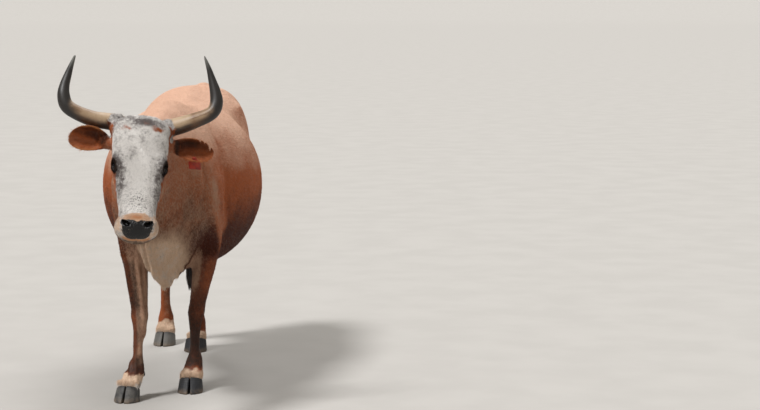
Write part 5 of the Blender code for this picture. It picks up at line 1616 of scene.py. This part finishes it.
def makeHorn(side):
    rows = hornRows(side, hornSet["steps"])
    points = [Vector(r[:3]) for r in rows]
    lengths = [0.0]
    for a, b in zip(points, points[1:]):
        lengths.append(lengths[-1] + (b - a).length)
    around = hornSet["around"]
    rings, values = [], []
    for i, row in enumerate(rows):
        tangent = (points[min(i + 1, len(rows) - 1)] - points[max(i - 1, 0)]).normalized()
        top = Vector((0, 0, 1))
        if lengths[i] >= 0.19:
            top = top.lerp(Vector((-side, 0.0, 0.0)), min(1, (lengths[i] - 0.19) / 0.10))
        top = (top - tangent * top.dot(tangent)).normalized()
        across = tangent.cross(top)
        far = lengths[i] / lengths[-1]
        phase = 2 * math.pi * lengths[i] / hornSet["rings"] + 1.4 * math.sin(lengths[i] * 60)
        ripple = hornSet["ripple"] * math.sin(phase) * max(0.0, 1 - far / 0.42)
        ring = []
        for k in range(around):
            angle = 2 * math.pi * k / around
            fluting = 0.00035 * math.sin(5 * angle + 8 * far) * (1 - far)
            r = row[3] * (1 + 0.05 * math.cos(2 * angle)) + ripple * (0.7 + 0.3 * math.sin(3 * angle)) + fluting
            r = max(r, 0.0008)
            ring.append(points[i] + top * (r * math.cos(angle)) + across * (r * math.sin(angle)))
            inner = (top * math.cos(angle) + across * math.sin(angle)).dot(Vector((-side, 0, 0.6)).normalized())
            values.append((far, math.cos(angle), math.cos(angle), math.sin(angle), inner))
        rings.append(ring)
    bm = bmesh.new()
    loftInto(bm, rings)
    horn = pieceFrom("hornRight" if side < 0 else "hornLeft", bm, hornMaterial)
    for n, name in enumerate(("far", "upper", "aroundX", "aroundY", "inner")):
        layer = horn.data.attributes.new(name, "FLOAT", "POINT")
        layer.data.foreach_set("value", [v[n] for v in values])
    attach(horn, "root")
    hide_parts("horn_right" if side < 0 else "horn_left")


makeHorn(-1)
makeHorn(1)
print("horns made")

# hooves: claws and dewclaws with growth rings, worn edges and dust

hoofSet = {"voxel": 0.0030, "smallVoxel": 0.0019, "ring": 0.0085, "depth": 0.00035}
hoofColours = {
    "slate": tint(39, 40, 44), "pale": tint(108, 105, 100), "dark": tint(25, 24, 25), "dust": tint(116, 98, 80)
}


def makeHoofMaterial():
    made, w, shader = newMaterial("hoofMaterial", **{"Specular IOR Level": 0.4})
    c, place = hoofColours, w.place()
    height = w.node("ShaderNodeSeparateXYZ", {}, {0: place}, out=2)
    streak = w.noise(w.stretch(place, (1.0, 1.0, 0.10)), 240.0, 3.0, 0.6)
    cloud = w.noise(place, 38.0, 3.0, 0.6)
    found = w.colour(c["slate"], c["dark"], streak.above(0.40, 0.70) * 0.8)
    found = w.colour(found, c["pale"], (cloud * 0.6 + w.painted("light") * 0.42 - 0.06).above(0.30, 0.72) * 0.75)
    found = w.colour(found, c["dark"], height.above(0.050, 0.066) * 0.65)
    found = w.colour(found, c["dust"], (1 - height.above(0.002, 0.026)) * cloud.above(0.30, 0.60) * 0.65)
    plug(found, shader, "Base Color")
    plug(0.48 + streak * 0.25, shader, "Roughness")
    plug(bumped(w, streak * 0.8 + w.noise(place, 500.0, 2.0) * 0.4, 0.5, 0.0010), shader, "Normal")
    return made


hoofMaterial = makeHoofMaterial()


hoofLight = {"hindleg_right": 1.0, "foreleg_right": 0.65, "foreleg_left": 0.12}  # how pale each hoof is, else not at all


def makeHoof(name):
    bm = cadShell([name], 0.0)
    voxel = hoofSet["smallVoxel" if "dewclaw" in name else "voxel"]
    hoof = remesh(pieceFrom(name + "_horn", bm, hoofMaterial), voxel, 4)
    hoof.data.materials.clear()
    hoof.data.materials.append(hoofMaterial)
    places, normals = placesOf(hoof.data), normalsOf(hoof.data)
    level = places[:, 2] + 0.10 * (places[:, 1] - places[:, 1].mean())
    rings = waves(level, hoofSet["ring"], 2.2 * cloud(places, 0.024, 21)) * hoofSet["depth"]
    rings *= 1 + 0.8 * cloud(places, 0.03, 22)
    wall = ease(0.004, 0.012, places[:, 2]) * (np.abs(normals[:, 2]) < 0.8)
    places += normals * (rings * wall)[:, None]
    places[:, 2] = np.maximum(places[:, 2], 0.0)
    putPlaces(hoof.data, places)
    layer = hoof.data.attributes.new("light", "FLOAT", "POINT")
    dust = hoofLight.get(name[:name.index("_", 8)], 0.0)
    layer.data.foreach_set("value", np.full(len(places), dust, np.float32))
    hoof.data.shade_smooth()
    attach(hoof, "root")
    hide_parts(name)


for name in sorted(nodes):
    if "claw" in name:
        makeHoof(name)
print("hooves made")

# the tail's brush

switchSet = {"locks": 420, "segments": 7, "top": 0.530, "tip": 0.238}


def makeSwitchMaterial():
    made, w, shader = newMaterial("switchHair", **{"Specular IOR Level": 0.5})
    place = w.place()
    strand = w.noise(w.stretch(place, (1.0, 1.0, 0.08)), 420.0, 2.0)
    found = w.colour(tint(20, 16, 15), tint(58, 42, 34), (strand + w.painted("tone") - 0.5).above(0.35, 0.8))
    plug(found, shader, "Base Color")
    plug(0.42 + strand * 0.2, shader, "Roughness")
    return made


def makeSwitch():
    draw = np.random.default_rng(7)
    count = switchSet["locks"]
    line = np.array([(x + shift.x, y + shift.y, z) for x, y, z in tailLine])
    heights = line[::-1, 2]
    start = switchSet["top"] - 0.175 * draw.random(count) ** 0.9
    angle = draw.random(count) * 2 * math.pi
    out = np.stack([np.cos(angle), np.sin(angle), np.zeros(count)], 1)
    base = np.stack([np.interp(start, heights, line[::-1, 0]), np.interp(start, heights, line[::-1, 1]), start], 1)
    base += out * 0.009 * draw.uniform(0.5, 1.15, count)[:, None]
    foot = np.array((line[-1, 0] - 0.004, line[-1, 1] - 0.010, switchSet["tip"]))
    length = draw.uniform(0.13, 0.21, count)
    end = np.maximum(start - length, switchSet["tip"] + 0.004 + 0.03 * draw.random(count) ** 2)
    ends = np.stack([foot[0] + out[:, 0] * 0.006, foot[1] + out[:, 1] * 0.006, end], 1)
    ends += out * (0.012 + 0.085 * (end - switchSet["tip"]))[:, None] * draw.uniform(0.2, 1.0, count)[:, None]
    waist = draw.uniform(0.010, 0.024, count)
    segments = switchSet["segments"]
    perLock = segments * 3 + 1
    points = np.empty((count, perLock, 3))
    side = np.stack([-out[:, 1], out[:, 0], np.zeros(count)], 1)
    phase = draw.random(count) * 6.28
    for k in range(segments + 1):
        t = k / segments
        middle = base + (ends - base) * t + out * (waist * math.sin(math.pi * min(1, t * 1.1)) * 0.8)[:, None]
        middle += side * (0.004 * np.sin(phase + 7 * t) * t)[:, None]
        if k == segments:
            points[:, -1] = middle
            break
        half = 0.0030 * (1 - t) ** 0.7 + 0.0003
        points[:, 3 * k] = middle - side * half
        points[:, 3 * k + 1] = middle + side * half
        points[:, 3 * k + 2] = middle + out * half * 0.8
    faces = []
    for k in range(segments - 1):
        a, b = 3 * k, 3 * k + 3
        faces += [(a, a + 1, b + 1, b), (a + 1, a + 2, b + 2, b + 1), (a + 2, a, b, b + 2)]
    a, tip = 3 * (segments - 1), perLock - 1
    faces += [(a, a + 1, tip), (a + 1, a + 2, tip), (a + 2, a, tip)]
    mesh = bpy.data.meshes.new("tailBrush")
    allFaces = [tuple(n * perLock + v for v in face) for n in range(count) for face in faces]
    mesh.from_pydata(points.reshape(-1, 3).tolist(), [], allFaces)
    uv = mesh.uv_layers.new(name="OFBake")
    local = np.empty((len(mesh.loops), 2), np.float32)
    corner = np.empty(len(mesh.loops), np.int32)
    mesh.loops.foreach_get("vertex_index", corner)
    lock = corner // perLock
    local[:, 0] = 0.02 + 0.045 * (lock % 21) + 0.0015 * ((corner % perLock) % 3)
    local[:, 1] = 0.02 + 0.045 * (lock // 21) + 0.003 * (corner % perLock) / perLock
    uv.data.foreach_set("uv", local.ravel())
    tone = mesh.attributes.new("tone", "FLOAT", "POINT")
    tone.data.foreach_set("value", np.repeat(draw.random(count), perLock).astype(np.float32))
    mesh.materials.append(makeSwitchMaterial())
    mesh.shade_smooth()
    made = bpy.data.objects.new("tailBrush", mesh)
    bpy.context.scene.collection.objects.link(made)
    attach(made, "root")
    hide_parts("tail_switch")


makeSwitch()
print("tail brush made")

# the plain ear tag

tagSet = {"half": 0.0240, "height": 0.030, "neck": 0.0078, "corner": 0.005, "thick": 0.0011}


def makeTagMaterial():
    made, w, shader = newMaterial("tagPlastic", **{"Specular IOR Level": 0.5})
    place = w.place()
    grime = w.noise(place, 90.0, 4.0, 0.65)
    scratch = w.noise(w.stretch(place, (1.0, 1.0, 0.12)), 600.0, 2.0)
    found = w.colour(tint(150, 38, 16), tint(92, 26, 10), grime.above(0.40, 0.80))
    plug(found, shader, "Base Color")
    plug(0.38 + grime * 0.25, shader, "Roughness")
    plug(bumped(w, scratch, 0.2, 0.0004), shader, "Normal")
    return made


def arc(cx, cy, across, high, start, count):  # points 15 degrees apart
    turns = [math.radians(start + 15 * n) for n in range(count)]
    return [(cx + across * math.cos(turn), cy + high * math.sin(turn)) for turn in turns]


def makeTag():
    root, way, face, up = earAxes(1)
    centre = root + way * (earSet["length"][1] * 0.54) + up * -0.050 + face * 0.012
    half, low, neck, corner = tagSet["half"], -tagSet["height"], tagSet["neck"], tagSet["corner"]
    outline = arc(half - corner, low + corner, corner, corner, -90, 7)
    outline += arc(half - corner, 0.004 - corner, corner, corner, 0, 7)
    outline += [(0.0115, 0.0085), (0.0088, 0.014)]
    outline += arc(0, 0.016, neck, neck * 0.8, 0, 13)
    outline += [(-0.0088, 0.014), (-0.0115, 0.0085)]
    outline += arc(-half + corner, 0.004 - corner, corner, corner, 90, 7)
    outline += arc(-half + corner, low + corner, corner, corner, 180, 7)
    bm = bmesh.new()
    rings = []
    thick = tagSet["thick"]
    for depth, inset in ((-thick, 0.94), (-thick * 0.6, 0.985), (0.0, 1.0), (thick * 0.6, 0.985), (thick, 0.94)):
        ring = []
        for x, y in outline:
            curve = 0.0022 * (x / half) ** 2
            ring.append(centre + way * (x * inset) + up * (y * inset - 0.006) + face * (depth + curve))
        rings.append(ring)
    loftInto(bm, rings)
    button = []
    spot = centre + up * 0.010
    for depth, r in ((thick * 0.5, 0.0062), (0.0024, 0.0060), (0.0032, 0.0050), (0.0034, 0.0024)):
        button.append(
            [
                spot + face * depth + way * (r * math.cos(2 * math.pi * k / 24))
                + up * (r * math.sin(2 * math.pi * k / 24))
                for k in range(24)
            ]
        )
    loftInto(bm, button)
    tag = pieceFrom("earTag", bm, makeTagMaterial())
    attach(tag, "root")
    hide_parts("ear_tag")


makeTag()
print("tag made")

# lashes and whiskers


def plainLocks(name, rows, width, material, segments=5):  # rows: start, first way, bend, length
    points, faces = [], []
    for start, way, bend, length in rows:
        side = way.cross(bend).normalized() if bend.length > 1e-6 else way.orthogonal().normalized()
        first = len(points)
        for k in range(segments + 1):
            t = k / segments
            middle = start + way * (length * t) + bend * (length * t * t)
            half = width * (1 - t) ** 0.8 / 2
            if k < segments:
                points += [middle - side * half, middle + side * half, middle + way.cross(side) * half]
            else:
                points.append(middle)
        for k in range(segments - 1):
            a, b = first + 3 * k, first + 3 * k + 3
            faces += [(a, a + 1, b + 1, b), (a + 1, a + 2, b + 2, b + 1), (a + 2, a, b, b + 2)]
        a, tip = first + 3 * (segments - 1), len(points) - 1
        faces += [(a, a + 1, tip), (a + 1, a + 2, tip), (a + 2, a, tip)]
    mesh = bpy.data.meshes.new(name)
    mesh.from_pydata([tuple(p) for p in points], [], faces)
    layer = mesh.uv_layers.new(name="OFBake")
    corner = np.empty(len(mesh.loops), np.int32)
    mesh.loops.foreach_get("vertex_index", corner)
    perLock = segments * 3 + 1
    lock, inside = corner // perLock, corner % perLock
    local = np.stack(
        [0.02 + 0.045 * (lock % 21) + 0.0015 * (inside % 3), 0.02 + 0.045 * (lock // 21) + 0.003 * inside / perLock],
        1
    )
    layer.data.foreach_set("uv", local.astype(np.float32).ravel())
    mesh.materials.append(material)
    mesh.shade_smooth()
    made = bpy.data.objects.new(name, mesh)
    bpy.context.scene.collection.objects.link(made)
    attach(made, "root")
    return made


def makeLashMaterial(name, dark, light):
    made, w, shader = newMaterial(name, **{"Roughness": 0.45})
    place = w.place()
    plug(w.colour(dark, light, w.noise(place, 160.0, 2.0).above(0.35, 0.7)), shader, "Base Color")
    return made


random.seed(5)
lashRows = []
for side in (-1, 1):
    look, along, up = eyeAxes(side)
    centre = eyeCentre(side)
    for n in range(46):
        share = -0.86 + 1.72 * (n + random.random() * 0.6) / 46
        height = eyeSet["upper"] * max(0.1, 1 - share * share) ** 0.5 * 1.06
        a, o = eyeSet["half"] * share, height
        w = math.sqrt(max(0.0, eyeSet["radius"] ** 2 - a * a - o * o)) + 0.0022
        start = centre + along * a + up * o + look * w
        way = (look * 0.75 + up * 0.65 + along * (0.25 * share + random.uniform(-0.08, 0.08))).normalized()
        lashRows.append((start, way, up * -0.30 + look * 0.05, random.uniform(0.010, 0.016)))
    for n in range(22):
        share = -0.75 + 1.5 * (n + random.random() * 0.6) / 22
        a, o = eyeSet["half"] * share, -eyeSet["lower"] * (1 - share * share) ** 0.5 * 1.08
        w = math.sqrt(max(0.0, eyeSet["radius"] ** 2 - a * a - o * o)) + 0.0022
        start = centre + along * a + up * o + look * w
        lashRows.append((start, (look * 0.7 - up * 0.7).normalized(), up * 0.2, random.uniform(0.004, 0.008)))
plainLocks("lashes", lashRows, 0.0006, makeLashMaterial("lashHair", tint(22, 17, 15), tint(60, 46, 40)))
whiskerRows = []
for side in (-1, 1):
    for n in range(76):
        down = random.uniform(0.405, 0.478)
        around = random.uniform(18, 95) if n < 46 else random.uniform(95, 178)  # from the front round to the chin
        inner = facePoint(0, down, 0.062)
        out = headTurn.to_3x3() @ Vector((side * math.sin(math.radians(around)), -math.cos(math.radians(around)), 0))
        start = onSkin(inner + out * 0.14, -out, False)
        if start and nostrilGap(*[np.array([v]) for v in faceOf(np.array([start]))[:2]][:2])[0] > 1.3:
            whiskerRows.append(
                (
                    start - out * 0.001, (out + Vector((0, 0, -0.35))).normalized(), Vector((0, -0.08, -0.35)),
                    random.uniform(0.008, 0.024)
                )
            )
plainLocks("whiskers", whiskerRows, 0.00035, makeLashMaterial("whiskerHair", tint(96, 80, 66), tint(190, 172, 150)))
print("lashes and whiskers made")

# floor and light

floorSet = {  # flat for 300 m, then it curves up like a studio sweep, so that no horizon shows
    "reach": 300.0, "colour": tint(178, 175, 171),
    "rise": ((304, 0.0), (314, 0.8), (326, 2.8), (340, 6.5), (356, 12.5), (372, 20.5), (388, 30.5), (400, 40.0)),
}
bm = bmesh.new()
bmesh.ops.create_circle(bm, cap_ends=True, segments=96, radius=floorSet["reach"])
rim = list(bm.edges)
for reach, height in floorSet["rise"]:
    grown = bmesh.ops.extrude_edge_only(bm, edges=rim)["geom"]
    rim = [e for e in grown if isinstance(e, bmesh.types.BMEdge) and e.is_boundary]
    for v in {v for e in rim for v in e.verts}:
        v.co = Vector((v.co.x, v.co.y, 0)).normalized() * reach + Vector((0, 0, height))
floorMaterial, w, shader = newMaterial("floorPaint", **{"Roughness": 0.9, "Specular IOR Level": 0.1})
plug(
    w.colour(floorSet["colour"], tint(174, 171, 167), w.noise(w.place(), 3.0, 3.0).above(0.3, 0.7)), shader,
    "Base Color"
)
floor = pieceFrom("floor", bm, floorMaterial)

lights = {  # soft suns: the way to each, its strength, and how wide it is
    "key": {"from": (-0.50, -0.50, 1.0), "strength": 2.9, "angle": 12},
    "top": {"from": (0.30, 0.55, 1.2), "strength": 1.6, "angle": 30},
}
for name, values in lights.items():
    data = bpy.data.lights.new(name, "SUN")
    data.energy = values["strength"]
    data.angle = math.radians(values["angle"])
    lamp = bpy.data.objects.new(name, data)
    lamp.rotation_euler = (-Vector(values["from"])).to_track_quat("-Z", "Y").to_euler()
    bpy.context.scene.collection.objects.link(lamp)
world = bpy.data.worlds.new("studio")
world.use_nodes = True
world.node_tree.nodes["Background"].inputs["Color"].default_value = tint(228, 224, 216)
world.node_tree.nodes["Background"].inputs["Strength"].default_value = 0.50
bpy.context.scene.world = world
bpy.context.scene.view_settings.view_transform = "Standard"
print("studio made")
